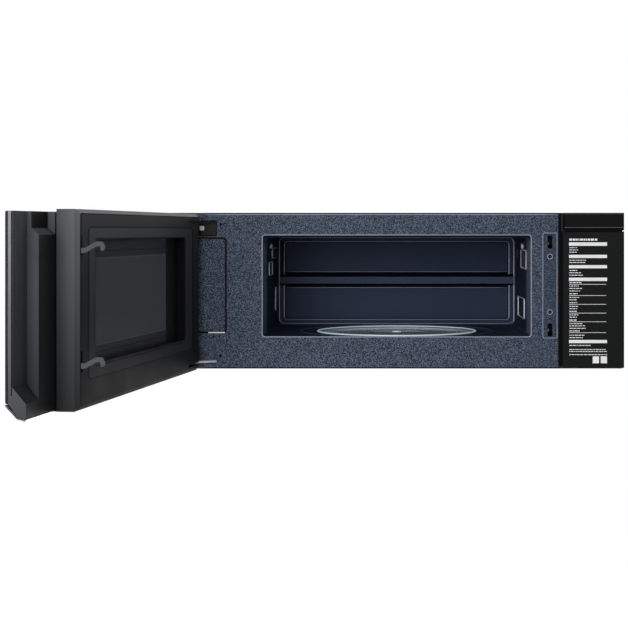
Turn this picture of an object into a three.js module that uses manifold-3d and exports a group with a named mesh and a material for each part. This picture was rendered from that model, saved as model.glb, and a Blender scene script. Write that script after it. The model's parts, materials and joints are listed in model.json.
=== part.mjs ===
// Slim over-the-range microwave, hung on its wall bracket, with its full-width door standing open.
// Millimetres; +X to the right, +Y towards the wall, +Z up; the wall is at y = 0, mid-height at z = 0.
import * as THREE from "three";
import Module from "manifold-3d";
import { mergeVertices } from "three/addons/utils/BufferGeometryUtils.js";

const wasm = await Module();
wasm.setup();

// Overall sizes.
const bodyWidth = 759;
const bodyHeight = 262;
const bodyDepth = 405;
const doorThickness = 57;
const openDegrees = 97;

// Edges of the body.
const right = bodyWidth / 2;
const left = -right;
const top = bodyHeight / 2;
const bottom = -top;
const front = -bodyDepth;

// Sheet thicknesses and clearances.
const caseSheet = 1;
const sheet = 1.25;
const bracketSheet = 1.5;
const moulding = 2.5;
const slack = 0.3;
const running = 0.15;

// Planes that neighbours share.
const plateBack = front + sheet;
const rearOuter = -bracketSheet;
const rearInner = rearOuter - sheet;
const baseTop = bottom + sheet;
const caseInner = top - caseSheet;
const wallInner = right - caseSheet;
const bracketLow = bottom + 13;

// Cavity, its mouth and the round well in its floor.
const mouth = { x: right - 153.25, low: bottom + 53.5, high: top - 37.25, corner: 5 };
const cavity = { x: mouth.x, low: mouth.low - 1, high: mouth.high - 4, back: -26.5, corner: 5 };
const cavityOuter = cavity.x + sheet;
const tableY = -215;
const well = { topRadius: 170, floorRadius: 150, depth: 18 };
const wellFloor = cavity.low - well.depth;
const wellUnder = wellFloor - sheet;

// Microwave feed through the right wall, and the antenna above it.
const feed = { y0: front + 103, y1: front + 205, z0: 37, z1: 63 };
const antenna = { y: front + 143, z: 50, radius: 8 };

// Rollers, ring, tray and the coupler that turns them.
const rollerRadius = 6;
const rollerWidth = 6;
const ringRadius = 100;
const axleRadius = 1.5;
const trayUnder = wellFloor + 2 * rollerRadius;
const trayRadius = 142.5;
const trayRim = 6.5;

// Front plate and the column beside it.
const plateRight = right - 108;
const columnLeft = right - 102.5;
const columnDepth = 25;
const columnTop = top - 31.25;
const columnBottom = bottom + 3;
const capLeft = columnLeft + 2.5;
const capBottom = columnTop + 2.75;

// Slots in the plate that the hinge arms pass through.
const armSlotLeft = left + 19.5;
const armSlotRight = left + 76.5;

// Latch hooks: the height of each, and where they meet the plate.
const upperHook = top - 50.5;
const lowerHook = bottom + 63.5;
const hookReach = 31;
const latchX = plateRight - 13.5;
const latchScrews = [top - 73.5, bottom + 95];

// Door, measured from its hinge end (u) and from the face of the front plate (y, towards the front negative).
const pivotU = 15;
const pivotY = -37.3;
const pinRadius = 4;
const armRadius = 9;
const armThick = 3;
const upperArm = top - 17.75;
const lowerArm = bottom + 10.75;
const doorTop = top - 5.75;
const frameTop = top - 2.25;
const doorBottom = bottom + 0.75;
const frameDepth = 30.3;
const frameStart = 10;
const frameEnd = latchX - left + 10.5;
const faceGap = 0.5;
const frameSheet = 1.5;
const glassThick = 4;
const shellSkin = 2.3;
const stripTop = doorBottom + 20.25;
const chokeHole = {
  u0: 56,
  u1: frameEnd - 43,
  z0: doorBottom + 37.75,
  z1: frameTop - 23.25,
  corner: 9,
};
const windowHole = {
  u0: chokeHole.u0 + 49,
  u1: chokeHole.u1 - 28,
  z0: chokeHole.z0 + 18.5,
  z1: chokeHole.z1 - 16.5,
  corner: 6,
};
const windowDepth = 14.5;
const windowThick = 1.5;
const screenSheet = 1;
const wellDepth = windowDepth + windowThick + screenSheet + 2 * slack;
const gripStart = bodyWidth - 57;

// Key plate that carries both hooks inside the door.
const keyThick = 3;
const keyU = latchX - left - keyThick / 2 - 0.1;

// Underside: grease filters and cooktop lamps, mirrored left and right.
const filter = { x0: 152, x1: 348, y0: front + 69, y1: -126, thick: 8.75, lip: 8 };
const lamp = { x0: 196, x1: 262, y0: front + 20, y1: front + 56 };

// Vent blower, in the left compartment, its axis along X.
const blower = { x0: left + 14.5, x1: left + 104.5, y: -225, z: 5, wheel: 58, inlet: 46 };

// Cooling fan, in the right compartment, its axis along Y.
const fan = { x: right - 74.5, z: 55, y0: -52, y1: rearInner - 11, half: 55, bore: 50 };

// ---- Outlines, as lists of [a, b] points, anticlockwise ----

function rect(a0, a1, b0, b1) {
  return [
    [a0, b0],
    [a1, b0],
    [a1, b1],
    [a0, b1],
  ];
}

function circle(a, b, radius, count = 16) {
  const points = [];
  for (let i = 0; i < count; i += 1) {
    const angle = (2 * Math.PI * i) / count;
    points.push([a + radius * Math.cos(angle), b + radius * Math.sin(angle)]);
  }
  return points;
}

function roundRect(a0, a1, b0, b1, corner, steps = 3) {
  const points = [];
  const centres = [
    [a1 - corner, b0 + corner, -90],
    [a1 - corner, b1 - corner, 0],
    [a0 + corner, b1 - corner, 90],
    [a0 + corner, b0 + corner, 180],
  ];
  for (const [a, b, start] of centres) {
    for (let i = 0; i <= steps; i += 1) {
      const angle = THREE.MathUtils.degToRad(start + (90 * i) / steps);
      points.push([a + corner * Math.cos(angle), b + corner * Math.sin(angle)]);
    }
  }
  return points;
}

// An oblong standing for a hole's outline or a window's, grown all round by a margin.
function grown(hole, margin, steps) {
  return roundRect(
    hole.u0 - margin,
    hole.u1 + margin,
    hole.z0 - margin,
    hole.z1 + margin,
    Math.max(hole.corner + margin, 2),
    steps,
  );
}

// ---- Solids ----

// Turns a closed geometry into a solid, whichever way its faces wind.
function solid(geometry) {
  const bare = geometry.index ? geometry.toNonIndexed() : geometry.clone();
  bare.deleteAttribute("normal");
  bare.deleteAttribute("uv");
  const merged = mergeVertices(bare, 1e-4);
  const corners = merged.index.array;
  const kept = [];
  for (let i = 0; i < corners.length; i += 3) {
    const [a, b, c] = [corners[i], corners[i + 1], corners[i + 2]];
    if (a !== b && b !== c && c !== a) {
      kept.push(a, b, c);
    }
  }
  const build = (triangles) =>
    new wasm.Manifold(
      new wasm.Mesh({
        numProp: 3,
        vertProperties: merged.attributes.position.array,
        triVerts: new Uint32Array(triangles),
      }),
    );
  const made = build(kept);
  return made.volume() < 0 ? build(kept.reverse()) : made;
}

// The three ways an outline can stand: from above (X, Y), from the front (X, Z), from the side (Y, Z).
const fromAbove = new THREE.Matrix4();
const fromFront = new THREE.Matrix4().makeBasis(
  new THREE.Vector3(1, 0, 0),
  new THREE.Vector3(0, 0, 1),
  new THREE.Vector3(0, -1, 0),
);
const fromSide = new THREE.Matrix4().makeBasis(
  new THREE.Vector3(0, 1, 0),
  new THREE.Vector3(0, 0, 1),
  new THREE.Vector3(1, 0, 0),
);

// Extrudes an outline between two levels and cuts its holes right through.
function extruded(outline, from, to, holes, stance) {
  const slab = (points, low, high) => {
    const shape = new THREE.Shape(points.map(([a, b]) => new THREE.Vector2(a, b)));
    const options = { depth: high - low, bevelEnabled: false };
    const geometry = new THREE.ExtrudeGeometry(shape, options);
    return solid(geometry.translate(0, 0, low).applyMatrix4(stance));
  };
  const cut = (made, hole) => made.subtract(slab(hole, from - 1, to + 1));
  return holes.reduce(cut, slab(outline, from, to));
}

function upright(outline, z0, z1, holes = []) {
  return extruded(outline, z0, z1, holes, fromAbove);
}

function facing(outline, y0, y1, holes = []) {
  return extruded(outline, -y1, -y0, holes, fromFront);
}

function across(outline, x0, x1, holes = []) {
  return extruded(outline, x0, x1, holes, fromSide);
}

function block(x0, x1, y0, y1, z0, z1) {
  return upright(rect(x0, x1, y0, y1), z0, z1);
}

// Skins equal outlines, each at its own level, into one closed solid.
function lofted(levels, stance) {
  const count = levels[0][0].length;
  const points = [];
  const faces = [];
  for (const [outline, level] of levels) {
    for (const [a, b] of outline) {
      points.push(a, b, level);
    }
  }
  for (let k = 1; k < levels.length; k += 1) {
    for (let i = 0; i < count; i += 1) {
      const next = (i + 1) % count;
      const low = (k - 1) * count;
      const high = k * count;
      faces.push(low + i, low + next, high + next);
      faces.push(low + i, high + next, high + i);
    }
  }
  const flat = levels[0][0].map(([a, b]) => new THREE.Vector2(a, b));
  const last = (levels.length - 1) * count;
  for (const [a, b, c] of THREE.ShapeUtils.triangulateShape(flat, [])) {
    faces.push(c, b, a, last + a, last + b, last + c);
  }
  const geometry = new THREE.BufferGeometry();
  geometry.setAttribute("position", new THREE.Float32BufferAttribute(points, 3));
  geometry.setIndex(faces);
  return solid(geometry.applyMatrix4(stance));
}

function loftUp(levels) {
  return lofted(levels, fromAbove);
}

function loftFront(levels) {
  return lofted(
    levels.map(([outline, y]) => [outline, -y]),
    fromFront,
  );
}

function loftSide(levels) {
  return lofted(levels, fromSide);
}

// Revolves a closed [radius, height] profile about an upright axis.
function turned(profile, count = 24) {
  const points = profile.map(([radius, height]) => new THREE.Vector2(radius, height));
  points.push(points[0].clone());
  return solid(new THREE.LatheGeometry(points, count).rotateX(Math.PI / 2));
}

// A round bar between two points.
function rod(start, end, radius, count = 12) {
  const from = new THREE.Vector3(...start);
  const along = new THREE.Vector3(...end).sub(from);
  const geometry = new THREE.CylinderGeometry(radius, radius, along.length(), count);
  const up = new THREE.Vector3(0, 1, 0);
  const turn = new THREE.Quaternion().setFromUnitVectors(up, along.clone().normalize());
  const middle = from.add(along.multiplyScalar(0.5));
  return solid(geometry.applyQuaternion(turn).translate(middle.x, middle.y, middle.z));
}

function joined(...pieces) {
  return pieces.reduce((whole, piece) => whole.add(piece));
}

// The mirror image across the YZ plane.
function mirrored(made) {
  return made.mirror([1, 0, 0]);
}

// ---- Nodes ----

const root = new THREE.Group();
const doorGroup = new THREE.Group();
doorGroup.position.set(left + pivotU, front + pivotY, 0);
doorGroup.rotation.z = THREE.MathUtils.degToRad(-openDegrees);
root.add(doorGroup);

function meshOf(name, made, look) {
  const data = made.getMesh();
  const positions = new Float32Array(data.numVert * 3);
  for (let i = 0; i < data.numVert; i += 1) {
    positions.set(data.vertProperties.subarray(i * data.numProp, i * data.numProp + 3), i * 3);
  }
  const geometry = new THREE.BufferGeometry();
  geometry.setAttribute("position", new THREE.BufferAttribute(positions, 3));
  geometry.setIndex(new THREE.BufferAttribute(new Uint32Array(data.triVerts), 1));
  const [color, roughness, metalness] = look;
  const material = new THREE.MeshStandardMaterial({ color, roughness, metalness });
  material.flatShading = true;
  const mesh = new THREE.Mesh(geometry, material);
  mesh.name = name;
  return mesh;
}

function place(name, made, look) {
  root.add(meshOf(name, made, look));
}

// Door pieces are drawn with the door shut and hang in the group that turns about the hinge pins.
function placeOnDoor(name, made, look) {
  const mesh = meshOf(name, made, look);
  mesh.geometry.translate(-pivotU, -pivotY, 0);
  doorGroup.add(mesh);
}

// Colour, roughness, metalness.
const looks = {
  zinc: [0xa9adb0, 0.45, 0.8],
  blackSteel: [0x1c1d20, 0.5, 0.4],
  enamel: [0x39414f, 0.35, 0.2],
  blackPlastic: [0x141416, 0.45, 0],
  greyPlastic: [0x3a3b3f, 0.55, 0],
  whitePlastic: [0xd8d8d4, 0.5, 0],
  glass: [0xa8bcbc, 0.1, 0],
  darkGlass: [0x08090b, 0.08, 0],
  brightTrim: [0xb8babd, 0.25, 0.9],
  copper: [0xa5673a, 0.4, 0.7],
  iron: [0x4a4c50, 0.6, 0.6],
  mica: [0xb9a888, 0.7, 0],
  board: [0x2c5a3a, 0.6, 0],
  carbon: [0x232323, 0.9, 0],
  aluminium: [0xbfc2c5, 0.4, 0.9],
};

// ---- Body shell ----

// Flat plate screwed to the wall, with stud slots and two upturned tongues that the body hangs on.
function wallBracket() {
  const slots = [roundRect(-155, -45, -40, 62, 8, 2), roundRect(45, 155, -40, 62, 8, 2)];
  for (const x of [-320, -203, 0, 203, 320]) {
    slots.push(roundRect(x - 20, x + 20, top - 55, top - 47, 3, 1));
  }
  for (const x of [-320, -203, 203, 320]) {
    slots.push(roundRect(x - 4, x + 4, bottom + 61, bottom + 91, 3, 1));
  }
  let made = facing(roundRect(left + 19.5, right - 19.5, bracketLow, top - 35, 6), rearOuter, 0, slots);
  for (const x of [-230, 230]) {
    const tongue = [
      [0, bracketLow],
      [0, bracketLow + 1.5],
      [-12.5, bracketLow + 1.5],
      [-12.5, bracketLow + 12],
      [-14, bracketLow + 12],
      [-14, bracketLow],
    ];
    made = made.add(across(tongue, x - 20, x + 20));
  }
  return made;
}

// Rear of the body: a pan with its rim folded forwards, slotted for the bracket's tongues.
function rearPanel() {
  const holes = [roundRect(left + 34.5, left + 144.5, top - 69, top - 19, 4)];
  for (const x of [-230, 230]) {
    holes.push(roundRect(x - 22, x + 22, bracketLow - 2, bracketLow + 15, 2));
  }
  const outline = rect(-wallInner, wallInner, baseTop, caseInner);
  const rimHole = rect(sheet - wallInner, wallInner - sheet, baseTop - 1, caseInner - sheet);
  const rim = facing(outline, rearInner - 11, rearInner).subtract(
    facing(rimHole, rearInner - 12, rearInner + 1),
  );
  return facing(outline, rearInner, rearOuter, holes).add(rim);
}

// Plate that closes the rear exhaust opening while the blower discharges upwards.
function exhaustCover() {
  const plate = facing(
    roundRect(left + 27.5, left + 151.5, top - 76, top - 12, 4),
    rearInner - sheet,
    rearInner,
  );
  const bead = loftFront([
    [roundRect(left + 49.5, left + 129.5, top - 59, top - 29, 8), rearInner - sheet],
    [roundRect(left + 53.5, left + 125.5, top - 55, top - 33, 6), rearInner - sheet - 3],
  ]);
  return plate.add(bead);
}

// Top and both sides in one folded sheet, open below and behind.
function outerCase() {
  const bend = 1;
  const outline = [
    [left, bottom],
    [left + caseSheet, bottom],
    [left + caseSheet, caseInner],
    [wallInner, caseInner],
    [wallInner, bottom],
    [right, bottom],
    [right, top - bend],
    [right - bend, top],
    [left + bend, top],
    [left, top - bend],
  ];
  let made = facing(outline, front, rearOuter);
  const cutTop = (shape) => {
    made = made.subtract(upright(shape, caseInner - 1, top + 1));
  };
  for (let i = 0; i < 7; i += 1) {
    const x = blower.x0 + 6 + i * 11.5;
    cutTop(rect(x, x + 7, blower.y + 13, blower.y + 87));
  }
  for (let i = 0; i < 8; i += 1) {
    const x = -235 + i * 60;
    cutTop(rect(x, x + 50, front + 11, front + 18));
  }
  for (const x of [-250, 250]) {
    cutTop(circle(x, -330, 5, 10));
  }
  cutTop(circle(330, -70, 13, 16));
  for (let i = 0; i < 7; i += 1) {
    const z = -36 + i * 13;
    made = made.subtract(across(rect(-130, -70, z, z + 6), wallInner - 1, right + 1));
  }
  return made;
}

// Rubber bush in the top of the case where the supply lead passes.
function cordGrommet() {
  const profile = [
    [6, caseInner - 4],
    [16, caseInner - 4],
    [16, caseInner - slack],
    [13 - slack, caseInner - slack],
    [13 - slack, top + slack],
    [15, top + slack],
    [13, top + 3],
    [6, top + 3],
  ];
  return turned(profile, 16).translate([330, -70, 0]);
}

// Underside: a panel with folded sides, a lipped seat for each filter and a hole for each lamp.
function basePanel() {
  let made = block(-wallInner, wallInner, plateBack, rearOuter, bottom, baseTop);
  const seatTop = bottom + filter.thick + sheet;
  const side = (piece) => joined(piece, mirrored(piece));
  made = made.add(side(block(wallInner - sheet, wallInner, front + 17, -18, baseTop, baseTop + 12)));
  const seatOuter = rect(filter.x0 - sheet, filter.x1 + sheet, filter.y0 - sheet, filter.y1 + sheet);
  made = made.add(side(upright(seatOuter, bottom, seatTop)));
  made = made.subtract(
    side(block(filter.x0, filter.x1, filter.y0, filter.y1, bottom - 1, seatTop - sheet)),
  );
  const throat = rect(
    filter.x0 + filter.lip,
    filter.x1 - filter.lip,
    filter.y0 + filter.lip,
    filter.y1 - filter.lip,
  );
  made = made.subtract(side(upright(throat, bottom - 1, seatTop + 1)));
  made = made.subtract(
    side(upright(roundRect(lamp.x0, lamp.x1, lamp.y0, lamp.y1, 4), bottom - 1, baseTop + 1)),
  );
  for (let i = 0; i < 6; i += 1) {
    const y = -100 + i * 11;
    made = made.subtract(block(180, 225, y, y + 5, bottom - 1, baseTop + 1));
  }
  made = made.subtract(upright(circle(0, tableY, 32, 20), bottom - 1, baseTop + 1));
  return made;
}

// Round plate that closes the hole under the turntable motor.
function motorAccessPlate() {
  const profile = [
    [0, bottom + 2],
    [24, bottom + 2],
    [27, baseTop],
    [38, baseTop],
    [38, baseTop + sheet],
    [26, baseTop + sheet],
    [23, bottom + 2 + sheet],
    [0, bottom + 2 + sheet],
  ];
  return turned(profile, 20).translate([0, tableY, 0]);
}

// ---- Front plate and side column ----

// Presses a drafted recess backwards into a sheet whose front face is at y = front.
function pressed(panel, outlineAt, depth, draft) {
  const back = loftFront([
    [outlineAt(-draft + sheet), front + depth + sheet],
    [outlineAt(sheet), plateBack - 0.5],
  ]);
  const hollow = loftFront([
    [outlineAt(-draft), front + depth],
    [outlineAt(draft / depth), front - 1],
  ]);
  return panel.add(back).subtract(hollow);
}

function frontPlate() {
  const plate = rect(-wallInner, plateRight, bottom, caseInner);
  let made = facing(plate, front, plateBack);
  const flange = facing(rect(-wallInner, plateRight, baseTop, caseInner), plateBack - 0.5, front + 13);
  const flangeHole = rect(
    sheet - wallInner,
    plateRight - sheet,
    baseTop - 1,
    caseInner - sheet,
  );
  made = made.add(flange.subtract(facing(flangeHole, front - 1, front + 14)));
  const hingeRecess = (m) =>
    roundRect(left + 33.5 - m, left + 92.5 + m, bottom + 61 - m, top - 42.5 + m, 6 + m);
  made = pressed(made, hingeRecess, 3, 2.5);
  const latchRecess = (m) =>
    roundRect(latchX - 12.5 - m, latchX + 11 + m, lowerHook - 14.5 - m, upperHook + 16 + m, 4 + m);
  made = pressed(made, latchRecess, 2, 1.5);
  const opening = (m) =>
    roundRect(-mouth.x - m, mouth.x + m, mouth.low - m, mouth.high + m, mouth.corner + m);
  const lip = loftFront([
    [opening(3), plateBack - 0.5],
    [opening(3), front],
    [opening(1.5), front - 0.25],
  ]);
  made = made.add(lip).subtract(facing(opening(0), front - 2, front + 20));
  const cut = (outline) => {
    made = made.subtract(facing(outline, front - 2, front + 6));
  };
  for (const hook of [upperHook, lowerHook]) {
    cut(roundRect(latchX - 4, latchX + 4, hook - 9.5, hook + 12.5, 1.5));
  }
  for (const z of latchScrews) {
    cut(circle(latchX, z, 2.5, 12));
  }
  for (const z of [top - 19.5, bottom + 21.5]) {
    cut(circle(armSlotRight + 7, z, 2, 8));
  }
  cut(rect(armSlotLeft, armSlotRight, upperArm - 21.25, upperArm + armThick + 1));
  cut(rect(armSlotLeft, armSlotRight, lowerArm - 0.5, lowerArm + armThick + 0.5));
  return made;
}

// Black sheet behind the column: closes the front of the right compartment.
function compartmentFront() {
  const outline = rect(plateRight, wallInner, baseTop, caseInner);
  const span = [right - 79.5, right - 19.5];
  const holes = [roundRect(...span, bottom + 31, bottom + 101, 6), roundRect(...span, 10, top - 51, 6)];
  const made = facing(outline, plateBack, plateBack + sheet, holes);
  const fold = block(plateRight, plateRight + sheet, plateBack, plateBack + 11, baseTop, caseInner);
  return made.add(fold);
}

// A hollow moulding that stands forward of the body, its front edges bevelled, open at the back.
function standing(x0, z0, z1, bevel) {
  const face = front - columnDepth;
  const outer = loftFront([
    [rect(x0, right, z0, z1), front],
    [rect(x0, right, z0, z1), face + bevel],
    [rect(x0 + bevel, right - bevel, z0 + bevel, z1 - bevel), face],
  ]);
  const spigot = block(x0, wallInner - 1, front - 1, plateBack, z0 + 1.5, z1 - 2.5);
  const inside = block(
    x0 + moulding,
    wallInner - 1 - moulding,
    face + moulding,
    plateBack + 1,
    z0 + moulding + 1.5,
    z1 - moulding - 2.5,
  );
  return joined(outer, spigot).subtract(inside);
}

function sideColumn() {
  let made = standing(columnLeft, columnBottom, columnTop, 1.5);
  for (const z of [-75, -20, 35]) {
    const rib = block(columnLeft + 1, right - 3, front - columnDepth + 1, front - 4, z, z + 1.5);
    made = made.add(rib);
  }
  return made;
}

function columnCap() {
  const middle = (capLeft + right) / 2;
  const rib = block(middle - 1, middle + 1, front - columnDepth + 1, front - 4, capBottom + 1, top - 3);
  return standing(capLeft, capBottom, top, 2).add(rib);
}

// ---- Cavity ----

// Deep-drawn oven box: ribbed back wall, round well in the floor, flange round its mouth.
function cavityLiner() {
  const section = (m) =>
    roundRect(-cavity.x - m, cavity.x + m, cavity.low - m, cavity.high + m, cavity.corner + m);
  const flange = facing(section(12), plateBack, plateBack + sheet);
  let made = joined(facing(section(sheet), plateBack, cavity.back + sheet), flange);
  const wellShell = turned(
    [
      [0, wellUnder],
      [well.floorRadius, wellUnder],
      [well.topRadius + sheet, cavity.low - sheet],
      [well.topRadius + sheet, cavity.low + 1],
      [0, cavity.low + 1],
    ],
    32,
  );
  made = made.add(wellShell.translate([0, tableY, 0]));
  made = made.add(backPress(sheet));
  made = made.subtract(facing(section(0), plateBack - 1, cavity.back));
  const wellHollow = turned(
    [
      [0, wellFloor],
      [well.floorRadius, wellFloor],
      [well.topRadius, cavity.low - 0.5],
      [well.topRadius, cavity.low + 2],
      [0, cavity.low + 2],
    ],
    32,
  );
  made = made.subtract(wellHollow.translate([0, tableY, 0]));
  made = made.subtract(backPress(0));
  made = made.add(backRib(0, 3.5)).subtract(backRib(sheet, 6));
  made = made.subtract(upright(circle(0, tableY, 6, 16), wellUnder - 1, wellFloor + 1));
  return joined(made, ...rackBosses()).subtract(wallOpenings());
}

// The panel pressed backwards into the back wall; the margin is the sheet's own thickness.
function backPress(margin) {
  const panel = (inset) => {
    const x = cavity.x - inset + margin;
    return roundRect(-x, x, cavity.low + inset - 2 - margin, cavity.high - inset + 2 + margin, 5);
  };
  return loftFront([
    [panel(15), cavity.back + 3 + margin],
    [panel(12), cavity.back - 1],
  ]);
}

// A channel pressed forward across the whole back wall, sloping above and below.
function backRib(margin, reach) {
  const slant = margin * 1.3;
  const outline = [
    [cavity.back + reach, 13 - slant + (reach + 5) * 1.06],
    [cavity.back - 5 + margin, 13 - slant + margin * 1.06],
    [cavity.back - 5 + margin, slant - margin * 0.82],
    [cavity.back + reach, slant - (reach + 5) * 0.82],
  ];
  const x = cavity.x - 3 - margin;
  return across(outline, -x, x);
}

// Pressed supports that a rack stands on: a round one near the front, a tall one near the back.
function rackBosses() {
  const boss = (outline, small) =>
    loftSide([
      [outline, 0.5 - cavityOuter],
      [outline, -cavity.x],
      [small, 3 - cavity.x],
    ]);
  const high = cavity.high - 12.25;
  const round = boss(circle(-265, high, 5, 10), circle(-265, high, 3, 10));
  const tall = boss(
    roundRect(-110, -102, high - 27.5, high - 8.5, 3, 2),
    roundRect(-108.5, -103.5, high - 25.5, high - 10.5, 2, 2),
  );
  return [round, tall, mirrored(round), mirrored(tall)];
}

// Holes through the side walls: the microwave feed, steam vents on both sides.
function wallOpenings() {
  const reach = cavityOuter + 5;
  let holes = across(roundRect(feed.y0, feed.y1, feed.z0, feed.z1, 3), cavity.x - 5, reach);
  for (let i = 0; i < 7; i += 1) {
    for (let k = 0; k < 3; k += 1) {
      const vent = circle(-258 + i * 19 + (k % 2) * 9.5, -54 + k * 14, 3, 6);
      holes = holes.add(across(vent, cavity.x - 5, reach));
    }
  }
  for (let i = 0; i < 4; i += 1) {
    for (let k = 0; k < 2; k += 1) {
      const vent = circle(-86 + k * 10, -43 + i * 11, 3, 6);
      holes = holes.add(across(vent, -reach, 5 - cavity.x));
    }
  }
  return holes;
}

// Mica sheet over the microwave feed, held by a screwed tab at each end.
function waveguideCover() {
  const outline = roundRect(feed.y0 - 12, feed.y1 + 12, feed.z0 - 5, feed.z1 + 5, 4);
  return across(outline, cavity.x - 1, cavity.x, [
    circle(feed.y0 - 6, feed.z0 + 3, 1.5, 8),
    circle(feed.y1 + 6, feed.z1 - 3, 1.5, 8),
  ]);
}

const waveguideDepth = 36;

// Duct that carries the microwaves from the antenna to the wall of the cavity.
function waveguide() {
  const x0 = cavityOuter;
  const x1 = x0 + waveguideDepth;
  const duct = (m) => rect(feed.y0 - 16 - m, feed.y1 + 16 + m, feed.z0 - 13 - m, feed.z1 + 13 + m);
  const outer = joined(across(duct(0), x0, x1), across(duct(8), x0, x0 + sheet));
  const inside = across(duct(-sheet), x0 - 1, x1 - sheet);
  const antennaHole = across(circle(antenna.y, antenna.z, antenna.radius + 3, 12), x1 - 5, x1 + 5);
  return outer.subtract(inside).subtract(antennaHole);
}

// ---- Turntable ----

// Geared motor under the well: a flat can with two ears and a bore for the coupler's stem.
function turntableMotor() {
  const can = turned(
    [
      [running + 3, wellUnder - 12],
      [running + 3, wellUnder - 3],
      [24, wellUnder - 3],
      [25, wellUnder - 4],
      [25, wellUnder - 18],
      [24, wellUnder - 19],
      [0, wellUnder - 19],
      [0, wellUnder - 12],
    ],
    16,
  );
  const ears = upright(roundRect(-36, 36, -8, 8, 7), wellUnder - 4, wellUnder, [
    circle(-30, 0, 2, 8),
    circle(30, 0, 2, 8),
  ]);
  const bracket = ears.subtract(upright(circle(0, 0, 6, 12), wellUnder - 5, wellUnder + 1));
  const plug = block(-8, 8, 24, 33, wellUnder - 16, wellUnder - 8);
  return joined(can, bracket, plug).translate([0, tableY, 0]);
}

// Three-armed driver on the motor's stem; it turns the tray by the lugs under the glass.
function trayCoupler() {
  const hubTop = trayUnder - 1;
  const hub = turned(
    [
      [0, wellUnder - 10],
      [3, wellUnder - 10],
      [3, wellFloor + 1],
      [7, wellFloor + 1],
      [7, hubTop - 1],
      [6, hubTop],
      [0, hubTop],
    ],
    16,
  );
  let made = hub;
  for (let i = 0; i < 3; i += 1) {
    const arm = loftUp([
      [roundRect(0, 17, -3, 3, 1.5, 2), wellFloor + 3],
      [roundRect(0, 16, -2.5, 2.5, 1.5, 2), hubTop],
    ]);
    made = made.add(arm.rotate([0, 0, i * 120]));
  }
  return made.translate([0, tableY, 0]);
}

// Ring with a stub axle for each roller.
function rollerRing() {
  const level = wellFloor + rollerRadius;
  const inner = ringRadius - rollerWidth / 2 - 8;
  const outer = inner + 5;
  let made = turned(
    [
      [inner, level - 3],
      [outer, level - 3],
      [outer, level + 1],
      [outer - 1.5, level + 2.5],
      [inner + 1.5, level + 2.5],
      [inner, level + 1],
    ],
    30,
  );
  for (let i = 0; i < 3; i += 1) {
    const stop = ringRadius + rollerWidth / 2 + 0.5;
    const axle = rod([outer - 2, 0, level], [stop + 1, 0, level], axleRadius, 10);
    const boss = rod([outer - 2, 0, level], [ringRadius - rollerWidth / 2 - 0.5, 0, level], 2.5, 8);
    const head = rod([stop, 0, level], [stop + 2, 0, level], 2.5, 8);
    made = made.add(joined(axle, boss, head).rotate([0, 0, 30 + i * 120]));
  }
  return made.translate([0, tableY, 0]);
}

function ringRoller(index) {
  const half = rollerWidth / 2;
  const wheel = turned(
    [
      [axleRadius + running, -half],
      [rollerRadius - 1, -half],
      [rollerRadius, 1 - half],
      [rollerRadius, half - 1],
      [rollerRadius - 1, half],
      [axleRadius + running, half],
    ],
    16,
  );
  const turn = 30 + index * 120;
  return wheel
    .rotate([0, 90, 0])
    .translate([ringRadius, 0, wellFloor + rollerRadius])
    .rotate([0, 0, turn])
    .translate([0, tableY, 0]);
}

// Round glass tray with a raised rim, a track for the rollers and lugs that the coupler drives.
function glassTray() {
  const rimTop = trayUnder + trayRim;
  const disc = turned(
    [
      [0, trayUnder],
      [112, trayUnder],
      [130, trayUnder + 0.8],
      [trayRadius - 1, rimTop - 2.2],
      [trayRadius, rimTop - 1],
      [trayRadius - 1.5, rimTop],
      [trayRadius - 3, rimTop - 0.6],
      [128, trayUnder + 3.6],
      [22, trayUnder + 3.2],
      [0, trayUnder + 3.8],
    ],
    40,
  );
  let made = disc;
  for (let i = 0; i < 3; i += 1) {
    const lug = turned(
      [
        [0, trayUnder - 4],
        [2, trayUnder - 4],
        [3, trayUnder - 3],
        [3, trayUnder + 1],
        [0, trayUnder + 1],
      ],
      8,
    );
    made = made.add(lug.translate([12, 0, 0]).rotate([0, 0, 60 + i * 120]));
  }
  return made.translate([0, tableY, 0]);
}

// ---- Latch body behind the plate ----

const latchFace = front + 2 + sheet;
const latchWeb = latchX + 6;

// Web, front flange and the two strikes that the hooks drop behind.
function latchBody() {
  const side = rect(latchFace, front + 56, lowerHook - 24.5, upperHook + 23.5);
  const lightening = roundRect(front + 14, front + 50, lowerHook + 37.5, upperHook - 40.5, 5);
  const web = across(side, latchWeb, latchWeb + moulding, [lightening]);
  const windows = [];
  for (const hook of [upperHook, lowerHook]) {
    windows.push(rect(latchX - 5, latchX + 5, hook - 10, hook + 13));
  }
  const flangeOutline = rect(latchX - 9, latchWeb + 1, lowerHook - 11.5, upperHook + 13.5);
  const holes = [...windows, ...latchScrews.map((z) => circle(latchX, z, 1.8, 10))];
  const flange = facing(flangeOutline, latchFace, latchFace + 3, holes);
  let made = joined(web, flange);
  for (const hook of [upperHook, lowerHook]) {
    const strike = [
      [latchFace + 1, hook - 16],
      [front + 24.2, hook - 16],
      [front + 24.2, hook - 3.5],
      [front + 16, hook - 3.5],
      [front + 9, hook - 9.8],
      [latchFace + 1, hook - 9.8],
    ];
    made = made.add(across(strike, latchX - 5, latchWeb + 1));
  }
  return made;
}

// Microswitch on the latch body's web, its button facing the hook's tip.
function microswitch(hook) {
  const y0 = front + 35;
  const shell = block(latchWeb - 10.5, latchWeb, y0, y0 + 18, hook - 12, hook + 14);
  const bore = block(latchX - 2.2, latchX + 1.2, y0 - 1, y0 + 5, hook - 3.2, hook + 1.2);
  let made = shell.subtract(bore);
  for (const z of [hook - 9, hook + 9]) {
    made = made.add(block(latchX - 1, latchX + 2, y0 + 17, y0 + 25, z, z + 0.8));
  }
  return made;
}

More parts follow.
